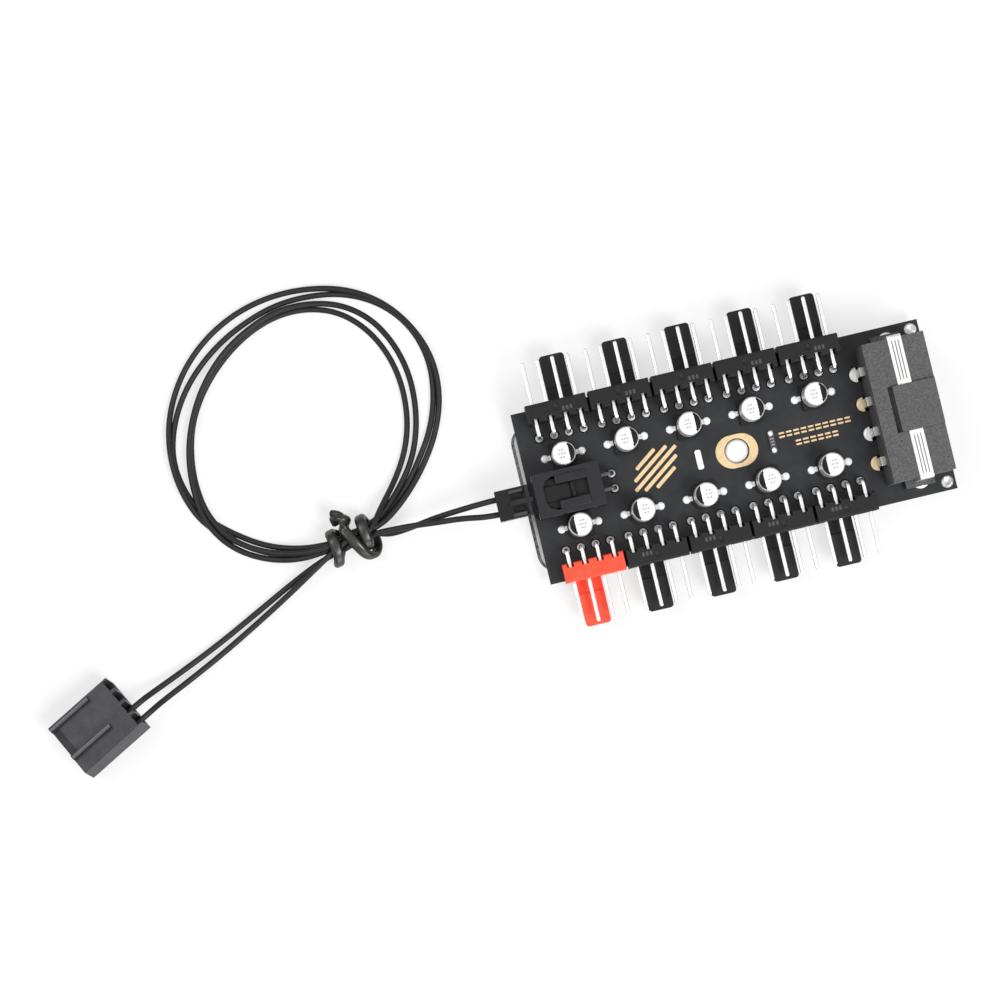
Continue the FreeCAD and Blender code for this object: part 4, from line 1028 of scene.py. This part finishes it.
@dataclass
class Studio:
    """Plain pale floor, soft overhead light and the photograph's camera."""

    camera_place: Triple = (-46.03, -22.67, 569.13)
    camera_turn: Triple = (0.0433, -0.0008, -0.2332)
    lens: float = 121.6
    film_width: float = 36.0
    nearest: float = 0.01
    floor_side: float = 6.0
    paper: str = "#a0a0a0"
    surround: float = 0.35
    horizon: float = 0.3
    sky_band: Pair = (0.1, 0.8)
    floor_glow: float = 0.65
    aim: Triple = (-0.04, 0, 0)
    lamps: tuple[tuple[str, Triple, float, float], ...] = (
        ("key", (0.3, -0.42, 0.8), 0.4, 6.0),
        ("fill", (-0.5, 0.3, 0.8), 0.6, 3.0),
        ("front", (0.1, -0.9, 0.22), 0.5, 2.5),
    )

    def make_camera(self) -> None:
        """Stand the camera where the photograph was taken from."""
        data = bpy.data.cameras.new("camera")
        data.sensor_width = self.film_width
        data.lens = self.lens
        data.clip_start = self.nearest
        camera = add_object("camera", data)
        camera.location = Vector(self.camera_place) * MM
        camera.rotation_euler = Euler(self.camera_turn, "XYZ")
        bpy.context.scene.camera = camera

    def rays(self, tree: bpy.types.NodeTree, other: str) -> bpy.types.NodeSocket:
        """Tell the rays that come from the camera, or are of one other kind, from the rest.

        Args:
            tree: The node tree.
            other: The light path socket of the other kind.

        Returns:
            A socket that is 1 for these rays.
        """
        path = add_node(tree, "ShaderNodeLightPath").outputs
        kinds = {0: path["Is Camera Ray"], 1: path[other]}
        return add_node(tree, "ShaderNodeMath", kinds, operation="MAXIMUM").outputs[0]

    def make_floor(self) -> None:
        """Lay a white sheet that keeps the object's soft shadow."""
        bpy.ops.mesh.primitive_plane_add(size=self.floor_side, location=(0, 0, 0))
        floor = bpy.context.object
        floor.name = "floor"
        material = bpy.data.materials.new("white_paper_sweep")
        material.use_nodes = True
        tree = material.node_tree
        tree.nodes.clear()
        seen = {0: self.rays(tree, "Is Glossy Ray"), 1: self.floor_glow}
        level = add_node(tree, "ShaderNodeMath", seen, operation="MULTIPLY").outputs[0]
        grey = {"Color": linear(self.paper)}
        paper = add_node(tree, "ShaderNodeBsdfDiffuse", grey).outputs[0]
        white = {"Color": (1, 1, 1, 1), "Strength": level}
        glow = add_node(tree, "ShaderNodeEmission", white).outputs[0]
        both = add_node(tree, "ShaderNodeAddShader", {0: paper, 1: glow}).outputs[0]
        add_node(tree, "ShaderNodeOutputMaterial", {"Surface": both})
        floor.data.materials.append(material)

    def make_world(self) -> None:
        """Set an even white surround that reflections see darker towards the horizon."""
        world = bpy.data.worlds.new("studio")
        world.use_nodes = True
        tree = world.node_tree
        seen = self.rays(tree, "Is Transmission Ray")
        plain = {"Value": seen, "To Min": self.surround, "To Max": 1.0}
        course = add_node(tree, "ShaderNodeTexCoord").outputs["Generated"]
        upward = add_node(tree, "ShaderNodeSeparateXYZ", {"Vector": course}).outputs["Z"]
        low, high = self.sky_band
        slope = {"Value": upward, "From Min": low, "From Max": high, "To Min": self.horizon}
        levels = {
            "Factor": add_node(tree, "ShaderNodeLightPath").outputs["Is Glossy Ray"],
            "A": add_node(tree, "ShaderNodeMapRange", plain).outputs["Result"],
            "B": add_node(tree, "ShaderNodeMapRange", slope | {"To Max": 1.0}).outputs["Result"],
        }
        strength = add_node(tree, "ShaderNodeMix", levels).outputs["Result"]
        sky = tree.nodes["Background"]
        sky.inputs["Color"].default_value = (1, 1, 1, 1)
        tree.links.new(strength, sky.inputs["Strength"])
        bpy.context.scene.world = world

    def make_lamps(self) -> None:
        """Hang three broad soft lamps, all turned to the object."""
        for name, place, size, power in self.lamps:
            lamp = bpy.data.lights.new(name, "AREA")
            lamp.shape = "SQUARE"
            lamp.size = size
            lamp.energy = power
            holder = add_object(name, lamp)
            holder.location = place
            course = Vector(self.aim) - Vector(place)
            holder.rotation_euler = course.to_track_quat("-Z", "Y").to_euler()

    def build(self) -> None:
        """Set the whole stage."""
        bpy.context.scene.view_settings.view_transform = "Standard"
        self.make_camera()
        self.make_floor()
        self.make_world()
        self.make_lamps()


# The hub's pieces, with their sizes and places in millimetres

# Places of the four power pins across the board.
POWER_ROWS = (7.77, 2.69, -2.39, -7.47)


@dataclass
class GoldMarks:
    """Plain gold dashes and slanting bars on the board, where the real one has markings."""

    thickness: float = 0.05
    dash_rows: tuple[tuple[float, int], ...] = ((0.85, 10), (-0.95, 6))
    dash_middle: float = 14.1
    dash_pitch: float = 1.26
    dash_size: Pair = (0.94, 0.3)
    dash_rounding: float = 0.12
    dash_lift: float = 0.31
    slant: float = 36.0
    bar_middle: Pair = (-13.4, 0.3)
    bar_lengths: tuple[float, ...] = (4.6, 8.0, 10.2, 8.0, 4.6)
    bar_pitch: float = 1.15
    bar_width: float = 0.62

    def build(self) -> None:
        """Lay the dashes and the bars as one piece."""
        height = BOARD_TOP + self.thickness / 2
        places = [
            (self.dash_middle + self.dash_pitch * (number - (count - 1) / 2), row + lift, height)
            for row, count in self.dash_rows
            for number in range(count)
            for lift in (self.dash_lift, -self.dash_lift)
        ]
        dash = make_bar("dash", (*self.dash_size, self.thickness), self.dash_rounding)
        pieces = repeat(dash, places)
        turn = math.radians(self.slant)
        x, y = self.bar_middle
        for number, length in enumerate(self.bar_lengths):
            aside = self.bar_pitch * (number - (len(self.bar_lengths) - 1) / 2)
            spot = (x - math.sin(turn) * aside, y + math.cos(turn) * aside, height)
            size = (length, self.bar_width, self.thickness)
            pieces.append(make_bar("bar", size, centre=spot, degrees=self.slant))
        dress(join("gold_marks", pieces), BOARD_GOLD, "gold_plating")


@dataclass
class PowerInlet:
    """Grained housing of the power inlet, with a gap behind its latch block, and ribbed clips."""

    frame: dict
    ease: float = 0.12
    gap_depth: float = 1.2
    slope_height: float = 13.8
    slope_way: Pair = (-0.4, 0.6)
    clip_middle: float = 29.225
    clip_top: float = 13.82
    clip_ends: tuple[Pair, ...] = ((-11.55, -3.95), (4.25, 11.85))
    ribs: tuple[float, ...] = (0.42, 0.34, 0.34, 0.42)
    rib_gap: float = 0.19
    rib_height: float = 0.12
    rib_sink: float = 0.02
    rib_margin: float = 0.3
    rib_rounding: float = 0.02
    end_bar: float = 0.5
    end_lift: float = 0.01
    end_rounding: float = 0.1
    groove_height: float = 0.03
    groove_lift: float = 0.005
    groove_rounding: float = 0.05

    def make_housing(self) -> Object:
        """Sink the slope behind the latch block into a gap, and ease the edges.

        Returns:
            The housing.
        """
        housing = rounded_copy(self.frame, "power_inlet", "inlet_housing", 0)
        high, (back, up) = self.slope_height, self.slope_way
        pick_faces(housing, lambda at, way: way.x < back and way.z > up and at.z > high)
        drop = (0, 0, -self.gap_depth * MM)
        bpy.ops.mesh.extrude_region_move(TRANSFORM_OT_translate={"value": drop})
        ease_edges(housing, self.ease)
        smooth(housing)
        return housing

    def dress_clip(self, number: int, start: float, end: float) -> None:
        """Lay one clip's raised ribs, a bar across each end, and the dark floor between them.

        Args:
            number: The clip's number.
            start: Its lower end across the board.
            end: Its upper end.
        """
        middle, length = (start + end) / 2, end - start
        height = self.clip_top + self.rib_height / 2 - self.rib_sink
        whole = sum(self.ribs) + self.rib_gap * (len(self.ribs) - 1)
        aside = self.clip_middle - whole / 2
        bars = []
        for width in self.ribs:
            size = (width, length - 2 * self.rib_margin, self.rib_height)
            spot = (aside + width / 2, middle, height)
            bars.append(make_bar("rib", size, self.rib_rounding, spot))
            aside += width + self.rib_gap
        size = (whole, self.end_bar, self.rib_height)
        reach = (length - self.end_bar) / 2
        height += self.end_lift
        ends = [(self.clip_middle, middle + side * reach, height) for side in (-1, 1)]
        bars += repeat(make_bar("end", size, self.end_rounding), ends)
        dress(join(f"clip_ribs_{number}", bars), CLIP_STEEL, "clip_metal")
        size = (sum(self.ribs), length - self.end_bar, self.groove_height)
        spot = (self.clip_middle, middle, self.clip_top + self.groove_lift)
        groove = make_bar(f"clip_groove_{number}", size, self.groove_rounding, spot)
        dress(groove, CLIP_GROOVE, "clip_metal")

    def build(self) -> None:
        """Make and dress the housing and the clips."""
        dress(self.make_housing(), GRAINED_PBT, "connector_plastic", "power_inlet")
        for number, ends in enumerate(self.clip_ends, 1):
            self.dress_clip(number, *ends)


@dataclass
class PowerPins:
    """Four pins of the power inlet: round in the socket, with flat tails behind the housing."""

    frame: dict
    wall: float = 23.7
    overlap: float = 0.3
    tail_middle: float = 23.12
    thick: float = 0.6
    wide: float = 1.5
    foot: float = 1.12
    top: float = 9.95
    tail_rounding: float = 0.12
    bend_rounding: float = 0.05
    ease: float = 0.06

    def build(self) -> None:
        """Cut the pins at the housing's wall and give each a flat bent tail."""
        pins = rounded_copy(self.frame, "power_pins", "inlet_pins", self.ease)
        trim(pins, 0, self.wall, keep_beyond=True)
        elbow = self.top - self.thick
        start, end = self.tail_middle - self.thick / 2, self.wall + self.overlap
        upright = (self.tail_middle, 0, (self.foot + elbow) / 2)
        level = ((start + end) / 2, 0, self.top - self.thick / 2)
        tail = [
            make_bar(
                "tail", (self.thick, self.wide, elbow - self.foot), self.tail_rounding, upright
            ),
            make_bar("bend", (end - start, self.wide, self.thick), self.bend_rounding, level),
        ]
        tails = join("tails", repeat(join("tail", tail), [(0, row, 0) for row in POWER_ROWS]))
        ease_edges(tails, self.ease)
        smooth(tails)
        dress(join("inlet_pins", [pins, tails]), POWER_PIN, "power_pins", "power_pins")


@dataclass
class FanPlug:
    """Four-way plug at the lead's far end, with its open wire chambers."""

    frame: dict
    place: FanPlugPlace
    ease: float = 0.1
    rows: tuple[float, ...] = (-3.81, -1.27, 1.27, 3.81)
    chamber: Triple = (1.9, 1.95, 2.2)
    chamber_lift: float = 0.35
    length: float = 12.7
    rib_length: float = 8.3
    rib_width: float = 0.85
    rib_height: float = 0.8
    rib_sink: float = 0.12
    crown_short: float = 0.1
    crown_sides: int = 16
    crown_flat: float = 0.5
    rib_rows: Pair = (4.32, -1.78)
    line_place: Pair = (-11.36, 1.27)
    line_sides: Triple = (0.16, 5.1, 0.36)

    def build(self) -> Object:
        """Cut the chambers into the plug's wire end and ease its edges.

        Returns:
            The plug.
        """
        plug = rounded_copy(self.frame, "fan_plug", "far_plug", 0)
        top = self.place.thickness
        middle = top - self.chamber[2] / 2 + self.chamber_lift
        hollows = [((0, row, middle), self.chamber) for row in self.rows]
        for spot, sides in (*hollows, ((*self.line_place, top), self.line_sides)):
            cut_box(plug, self.place.place(spot), sides, self.place.matrix)
        ease_edges(plug, self.ease)
        smooth(plug)
        return dress(plug, FAR_NYLON, "plug_plastic", "fan_plug")

    def make_rib_crowns(self) -> Object:
        """Round the tops of the two ribs that straddle a header's tongue, paler as painted
        highlight.

        Returns:
            Both crowns, as one piece.
        """
        turn = self.place.matrix @ Matrix.Rotation(math.pi / 2, 3, "Y")
        height = self.place.thickness + self.rib_height - self.rib_sink
        crowns = []
        for row in self.rib_rows:
            spot = self.place.place((self.rib_length / 2 - self.length, row, height))
            bpy.ops.mesh.primitive_cylinder_add(
                vertices=self.crown_sides,
                radius=self.rib_width / 2 * MM,
                depth=(self.rib_length - self.crown_short) * MM,
                location=spot * MM,
                rotation=turn.to_euler(),
            )
            crowns.append(bpy.context.object)
            bpy.ops.transform.resize(value=(self.crown_flat, 1, 1), orient_type="LOCAL")
            settle(crowns[-1])
        crowns = join("rib_crowns", crowns)
        smooth(crowns, SOLDERED)
        # The crowns' paler nylon is painted highlight on the raised ribs.
        return dress(crowns, LIT_RIB_NYLON, "plug_plastic")


@dataclass
class CablePlug:
    """Two-way plug in the shroud: slots, gripping rails, a ridged latch and a flange.

    Places are along the plug, across it from its middle, and up from its top.
    """

    frame: dict
    ease: float = 0.07
    top: float = 9.12
    across: float = -0.12
    hollows: tuple[tuple[Triple, Triple], ...] = (
        ((-35.9, 0, 0.6), (2.2, 4.4, 1.2)),
        ((-37.15, 1.12, 0), (2.0, 0.86, 1.6)),
        ((-37.15, -1.08, 0), (2.0, 0.86, 1.6)),
        ((-34.72, 0, 0), (0.55, 5.4, 1.4)),
    )
    rails: tuple[Triple, ...] = ((-37.28, 1.93, 0.12), (-37.28, -2.02, 0.12))
    rail_shape: tuple[Triple, float] = ((2.4, 0.52, 0.5), 0.4)
    ridges: tuple[Triple, ...] = tuple((x, 0, 0.4) for x in (-38.5, -38.18, -37.86, -37.54))
    ridge_shape: tuple[Triple, float] = ((0.14, 0.7, 0.16), 0.3)
    latch: tuple[tuple[Triple, float, Triple], ...] = (
        ((4.0, 0.78, 0.5), 0.2, (-36.6, 0, 0.12)),
        ((0.62, 4.9, 0.4), 0.2, (-35.43, 0, 0.1)),
        ((0.8, 0.62, 0.3), 0.3, (-35.1, 0.05, 0.42)),
    )

    def build(self) -> None:
        """Cut and dress the plug, and lay its rails, latch and flange."""
        plug = rounded_copy(self.frame, "cable_plug", "lead_plug", 0)
        origin = Vector((0, self.across, self.top))
        for place, sides in self.hollows:
            cut_box(plug, origin + Vector(place), sides)
        ease_edges(plug, self.ease)
        smooth(plug)
        rails = join("lead_plug_rails", repeat(make_bar("rail", *self.rail_shape), self.rails))
        latch = repeat(make_bar("ridge", *self.ridge_shape), self.ridges)
        latch = join("lead_plug_latch", [make_bar("latch", *bar) for bar in self.latch] + latch)
        # The rails and latch take paler nylons than the body, whose darker black is painted shade;
        # on these raised parts the paler tone is partly painted highlight.
        for piece, finish in ((rails, FAR_NYLON), (latch, SHROUD_NYLON)):
            settle(piece, origin)
            dress(piece, finish, "plug_plastic")
        # The plug's body takes the darkened black that stands for painted shade in the shroud's
        # window.
        dress(plug, SHADED_PLUG_NYLON, "plug_plastic", "cable_plug")


@dataclass
class FoamBulge:
    """Foam that swells into the board's centre hole."""

    foot: Triple = (0.5, 0.0, 2.25)
    profile: tuple[Pair, ...] = (
        (2.09, 0.0), (2.08, 0.8), (1.98, 1.15), (1.6, 1.35), (0.8, 1.45), (0.2, 1.47),
    )

    def build(self) -> None:
        """Turn the swelling up and dress it."""
        bulge = turn_up("foam_bulge", self.profile)
        settle(bulge, self.foot)
        smooth(bulge, TURNED)
        dress(bulge, WHITE_FOAM, "foam")


@dataclass
class ResistorEnds:
    """Rounded solder at both ends of the chip resistor, and plain dashes on its top."""

    middle: Pair = (6.6, 0.1)
    reach: float = 1.42
    top: float = 4.475
    marks: tuple[float, ...] = (-0.5, 0.0, 0.5)
    mark_size: Triple = (0.62, 0.2, 0.02)
    profile: tuple[Pair, ...] = ((0.55, 0.0), (0.54, 0.2), (0.5, 0.42), (0.36, 0.6), (0.16, 0.66))

    def build(self) -> None:
        """Turn both ends up and lay the dashes."""
        x, y = self.middle
        places = [(x, y + side * self.reach, BOARD_TOP) for side in (-1, 1)]
        lay_drops("resistor_ends", self.profile, places, SOLDER)
        places = [(x, y + aside, self.top) for aside in self.marks]
        marks = join("resistor_marks", repeat(make_bar("mark", self.mark_size), places))
        dress(marks, CAN_PRINT, "chip_ceramic")


@dataclass
class SolderJoints:
    """Solder of the through-hole pins: low domes underneath, narrow hollow cones on top."""

    frame: dict
    ease: float = 0.04
    overlap: float = 0.05
    widest_pin: float = 1.0
    narrowest_clip: float = 1.4
    cone_profile: tuple[Pair, ...] = (
        (0.66, 0.0), (0.64, 0.12), (0.54, 0.2), (0.45, 0.34), (0.39, 0.52), (0.36, 0.7),
    )
    pool_profile: tuple[Pair, ...] = (
        (1.5, -0.1), (1.5, 0.05), (1.35, 0.14), (0.7, 0.2), (0.2, 0.21),
    )

    def build(self) -> None:
        """Cut the joints off at the board's top, and top the pins' and the clips' ones anew."""
        joints = rounded_copy(self.frame, "solder_joints", "joints", self.ease)
        with editing(joints):
            bpy.ops.mesh.separate(type="LOOSE")
        parts = list(bpy.context.selected_objects)
        cones, pools = [], []
        for part in parts:
            corners = [Vector(corner) / MM for corner in part.bound_box]
            middle = sum(corners, Vector()) / len(corners)
            radius = max(abs(corner.x - middle.x) for corner in corners)
            if radius < self.widest_pin:
                cones.append((middle.x, middle.y, BOARD_TOP))
            elif radius > self.narrowest_clip:
                pools.append((middle.x, middle.y, BOARD_TOP))
        joints = join("joints", parts)
        trim(joints, 2, BOARD_TOP - self.overlap)
        dress(joints, SOLDER, "solder", "solder_joints")
        tops = repeat(turn_up("cone", self.cone_profile, DROP_SIDES), cones)
        tops += repeat(turn_up("pool", self.pool_profile), pools)
        tops = join("cones", tops)
        smooth(tops, SOLDERED)
        dress(tops, BARE_TIN, "solder")


@dataclass
class PowerPads:
    """Pads of the power pins, tinned and gold by turns, cut off at the housing, and its pegs."""

    column: float = 23.0
    edge: float = 22.95
    sides: int = 32
    peg_sides: int = 24
    pegs: tuple[Pair, ...] = ((33.5, -13.1), (33.5, 13.1))
    peg_profile: tuple[Pair, ...] = (
        (1.08, 0.08), (1.06, 0.2), (0.92, 0.34), (0.7, 0.36), (0.45, 0.24), (0.15, 0.2),
    )
    profile: tuple[Pair, ...] = ((1.25, 0.0), (1.23, 0.14), (1.12, 0.24), (0.8, 0.29), (0.4, 0.3))

    def build(self) -> None:
        """Turn up one pad and one peg's solder, and copy each to its places."""
        pad = turn_up("pad", self.profile, self.sides)
        trim(pad, 0, self.edge - self.column)
        smooth(pad)
        pads = repeat(pad, [(self.column, row, BOARD_TOP) for row in POWER_ROWS])
        for number, pad in enumerate(pads, 1):
            pad.name = f"power_pad_{number}"
            gold = number % 2 == 0
            dress(pad, PAD_GOLD if gold else BARE_TIN, "gold_plating" if gold else "solder")
        peg = turn_up("peg", self.peg_profile, self.peg_sides)
        smooth(peg, TURNED)
        places = [(*place, BOARD_TOP) for place in self.pegs]
        for number, peg in enumerate(repeat(peg, places), 1):
            peg.name = f"peg_{number}"
            dress(peg, PEG_SOLDER, "solder")


@dataclass
class Capacitors:
    """Ten small electrolytic cans on moulded bases, with flat leads and drops of solder."""

    frame: dict
    count: int = 10
    rim: float = 0.42
    rim_steps: int = 5
    side: tuple[Pair, ...] = (
        (0.25, 0.0), (0.06, 0.08), (0.0, 0.25), (0.0, 0.78), (0.03, 0.86), (0.13, 0.95),
        (0.16, 1.05), (0.16, 1.25), (0.13, 1.35), (0.03, 1.44), (0.0, 1.52),
    )
    lid: tuple[Pair, ...] = ((0.05, 0.01), (0.12, 0.05))
    chord: float = 0.4
    sides: int = 48
    base_ease: float = 0.06
    crease: float = 30.0
    rim_slack: float = 0.02
    flat_share: float = 0.3
    mark_aside: float = 0.35
    mark_gap: float = 0.16
    mark_sink: float = 0.04
    mark_sides: Pair = (0.24, 0.02)
    mark_rows: tuple[tuple[float, tuple[float, ...]], ...] = (
        (0.62, (0.3, 0.34)), (0.0, (0.28, 0.3, 0.3)), (-0.62, (0.34, 0.26)),
    )
    lead_place: float = 2.55
    lead_size: Triple = (1.3, 0.8, 0.18)
    lead_rounding: float = 0.2
    drop_place: float = 3.15
    drop_profile: tuple[Pair, ...] = (
        (0.68, 0.0), (0.66, 0.14), (0.57, 0.24), (0.38, 0.29), (0.16, 0.3),
    )

    def can_profile(self, radius: float, height: float) -> list[Pair]:
        """Draw a can's profile from the bottom.

        Args:
            radius: The can's radius.
            height: Its height.

        Returns:
            Radius and height of each ring.
        """
        rings = [(radius - inward, rise) for inward, rise in self.side]
        for step in range(self.rim_steps + 1):
            angle = math.pi / 2 * step / self.rim_steps
            inward, lower = 1 - math.cos(angle), 1 - math.sin(angle)
            rings.append((radius - self.rim * inward, height - self.rim * lower))
        return rings + [(radius - self.rim - inward, height - lower) for inward, lower in self.lid]

    def make_can(self, radius: float, height: float) -> Object:
        """Model one can on the origin, with the marked segment of its top towards +X.

        Args:
            radius: The can's radius.
            height: Its height.

        Returns:
            The can.
        """
        can = turn_up("can", self.can_profile(radius, height), self.sides)
        for finish in (CAN_ALUMINIUM, CAN_TOP, CAN_MARK):
            can.data.materials.append(finish.build())
        edge = radius * self.chord
        pick_faces(can, lambda centre, normal: centre.z > height - self.rim - self.rim_slack)
        bpy.ops.mesh.bisect(plane_co=(edge * MM, 0, 0), plane_no=(1, 0, 0))
        bpy.ops.object.mode_set(mode="OBJECT")
        for face in can.data.polygons:
            centre = face.center / MM
            if centre.z > height - self.rim * self.flat_share:
                face.material_index = 2 if centre.x > edge else 1
        smooth(can, self.crease)
        return can

    def make_marks(self) -> Object:
        """Lay plain grey dashes round the origin, where the real can has its figures.

        Returns:
            The dashes, as one piece.
        """
        dashes = []
        for row, lengths in self.mark_rows:
            x = -(sum(lengths) + self.mark_gap * (len(lengths) - 1)) / 2
            for length in lengths:
                size = (length, *self.mark_sides)
                dashes.append(make_bar("dash", size, centre=(x + length / 2, row, 0)))
                x += length + self.mark_gap
        return join("marks", dashes)

    def build(self) -> None:
        """Model one can and its marks and copy them, and dress the bases, leads and solder."""
        nodes = [f"capacitor_can_{number}" for number in range(1, self.count + 1)]
        low, high = box_of(nodes[0])
        can, marks = self.make_can((high.x - low.x) / 2, high.z - low.z), self.make_marks()
        leads, drops = [], []
        for number, node in enumerate(nodes, 1):
            low, high = box_of(node)
            x, y, _ = (low + high) / 2
            dark = -1 if number <= self.count / 2 else 1
            copy = duplicate(can, f"can_{number}", (x, y, low.z), turned=dark < 0)
            dress(copy, CAN_ALUMINIUM, "can_metal", node)
            spot = (x - dark * self.mark_aside, y, high.z - self.mark_sink)
            dress(duplicate(marks, f"can_marks_{number}", spot), CAN_PRINT, "can_metal")
            for side in (-1, 1):
                leads.append((x + side * self.lead_place, y, BOARD_TOP + self.lead_size[2] / 2))
                drops.append((x + side * self.drop_place, y, BOARD_TOP))
        bpy.data.objects.remove(can)
        bpy.data.objects.remove(marks)
        for row in ("front", "back"):
            node = f"capacitor_bases_{row}"
            base = rounded_copy(self.frame, node, f"bases_{row}", self.base_ease)
            dress(base, PHENOLIC, "capacitor_base", node)
        lead = make_bar("lead", self.lead_size, self.lead_rounding)
        leads = join("flat_leads", repeat(lead, leads))
        dress(leads, BARE_TIN, "tinned_lead", "capacitor_terminals")
        lay_drops("solder_drops", self.drop_profile, drops, BARE_TIN, "capacitor_solder")


@dataclass
class FanHeaders:
    """Ten right-angle headers with four square pins each, all copied from the second one."""

    frame: dict
    count: int = 10
    pattern: int = 2
    ease: float = 0.09
    pin_ease: float = 0.14
    mark_row: float = 1.45
    mark_places: tuple[float, ...] = (1.1, 1.75, 2.4)
    mark_size: Triple = (0.42, 0.7, 0.06)
    mark_lift: float = 0.01
    mark_rounding: float = 0.25

    def build_kind(self, kind: str, label: str, ease: float, finish: Finish, slot: str) -> None:
        """Model one of a kind and copy it to all ten places.

        Args:
            kind: The CAD nodes' common name.
            label: The pieces' common name.
            ease: How far its edges are eased.
            finish: What it is made of.
            slot: The record's material slot.
        """
        first = f"{kind}_{self.pattern}"
        pattern = rounded_copy(self.frame, first, f"{label}_{self.pattern}", ease)
        for number in range(1, self.count + 1):
            if number == self.pattern:
                continue
            node = f"{kind}_{number}"
            turned = number > self.count / 2
            start, end = (sum(box_of(name), Vector()) / 2 for name in (first, node))
            if turned:
                start.xy = -start.xy
            copy = duplicate(pattern, f"{label}_{number}", end - start, turned)
            red = number == 1 and kind == "fan_header"
            dress(copy, RED_NYLON if red else finish, "header_red" if red else slot, node)
        dress(pattern, finish, slot, first)

    def make_marks(self) -> None:
        """Lay raised dashes beside each housing's centre pip, where the real one has figures."""
        places = []
        for number in range(2, self.count + 1):
            low, high = box_of(f"fan_header_{number}")
            side = -1 if number <= self.count / 2 else 1
            row = (low.y if side > 0 else high.y) + side * self.mark_row
            x, z = (low.x + high.x) / 2, high.z + self.mark_lift
            places += [(x + side * aside, row, z) for aside in self.mark_places]
        mark = make_bar("mark", self.mark_size, self.mark_rounding)
        marks = join("header_marks", repeat(mark, places))
        dress(marks, PALE_MARK_NYLON, "header_black")

    def build(self) -> None:
        """Model the headers and their pins."""
        self.build_kind("fan_header", "header", self.ease, BLACK_NYLON, "header_black")
        self.build_kind("header_pins", "pins", self.pin_ease, TINNED_PIN, "tinned_pins")
        self.make_marks()


class Dressing(Enum):
    """A CAD node that is copied with eased edges: new name, ease, finish and slot."""

    LINER = ("release_liner", "liner_sheet", 0.03, LINER_PAPER, "liner")
    FOAM = ("foam_pad", "foam_layer", 0.12, WHITE_FOAM, "foam")
    BOARD = ("circuit_board", "board", 0.05, SOLDER_MASK, "board_laminate")
    RING = ("plated_ring", "gold_ring", 0.05, BOARD_GOLD, "gold_plating")
    CLIPS = ("hold_down_clips", "clips", 0.06, CLIP_STEEL, "clip_metal")
    SHROUD = ("input_shroud", "shroud", 0.13, SHROUD_NYLON, "connector_plastic")
    # The shroud's pins take the tinned brass darkened as painted shade.
    SHROUD_PINS = ("input_pins", "shroud_pins", 0.12, SHADED_PIN, "tinned_pins")
    RESISTOR = ("chip_resistor", "resistor", 0.05, CERAMIC, "chip_ceramic")
    WHITE = ("white_chip", "white_bar", 0.08, WHITE_CERAMIC, "chip_white")
    CABLE_CONTACTS = ("cable_plug_contacts", "lead_plug_contacts", 0.02, BARE_TIN, "tinned_lead")
    FAN_CONTACTS = ("fan_plug_contacts", "far_plug_contacts", 0.02, BARE_TIN, "tinned_lead")

    def build(self, frame: dict) -> Object:
        """Copy the node from the loaded frame and dress the copy."""
        node, name, ease, finish, slot = self.value
        return dress(rounded_copy(frame, node, name, ease), finish, slot, node)


def main() -> None:
    """Build the stage, the lead and the hub, and report each piece."""
    logging.basicConfig(level=logging.INFO, format="%(message)s")
    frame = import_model()
    Studio().build()
    pieces = {dressing: dressing.build(frame) for dressing in Dressing}
    tie, plug = TieGeometry(), FanPlugPlace()
    far_plug = FanPlug(frame, plug)
    plug_pieces = [far_plug.build(), far_plug.make_rib_crowns(), pieces[Dressing.FAN_CONTACTS]]
    CablePlug(frame).build()
    Lead(tie, plug).build(plug_pieces)
    TwistTie(tie).build()
    PowerInlet(frame).build()
    PowerPins(frame).build()
    GoldMarks().build()
    SolderJoints(frame).build()
    PowerPads().build()
    ResistorEnds().build()
    FoamBulge().build()
    FanHeaders(frame).build()
    Capacitors(frame).build()


if __name__ == "__main__":
    main()
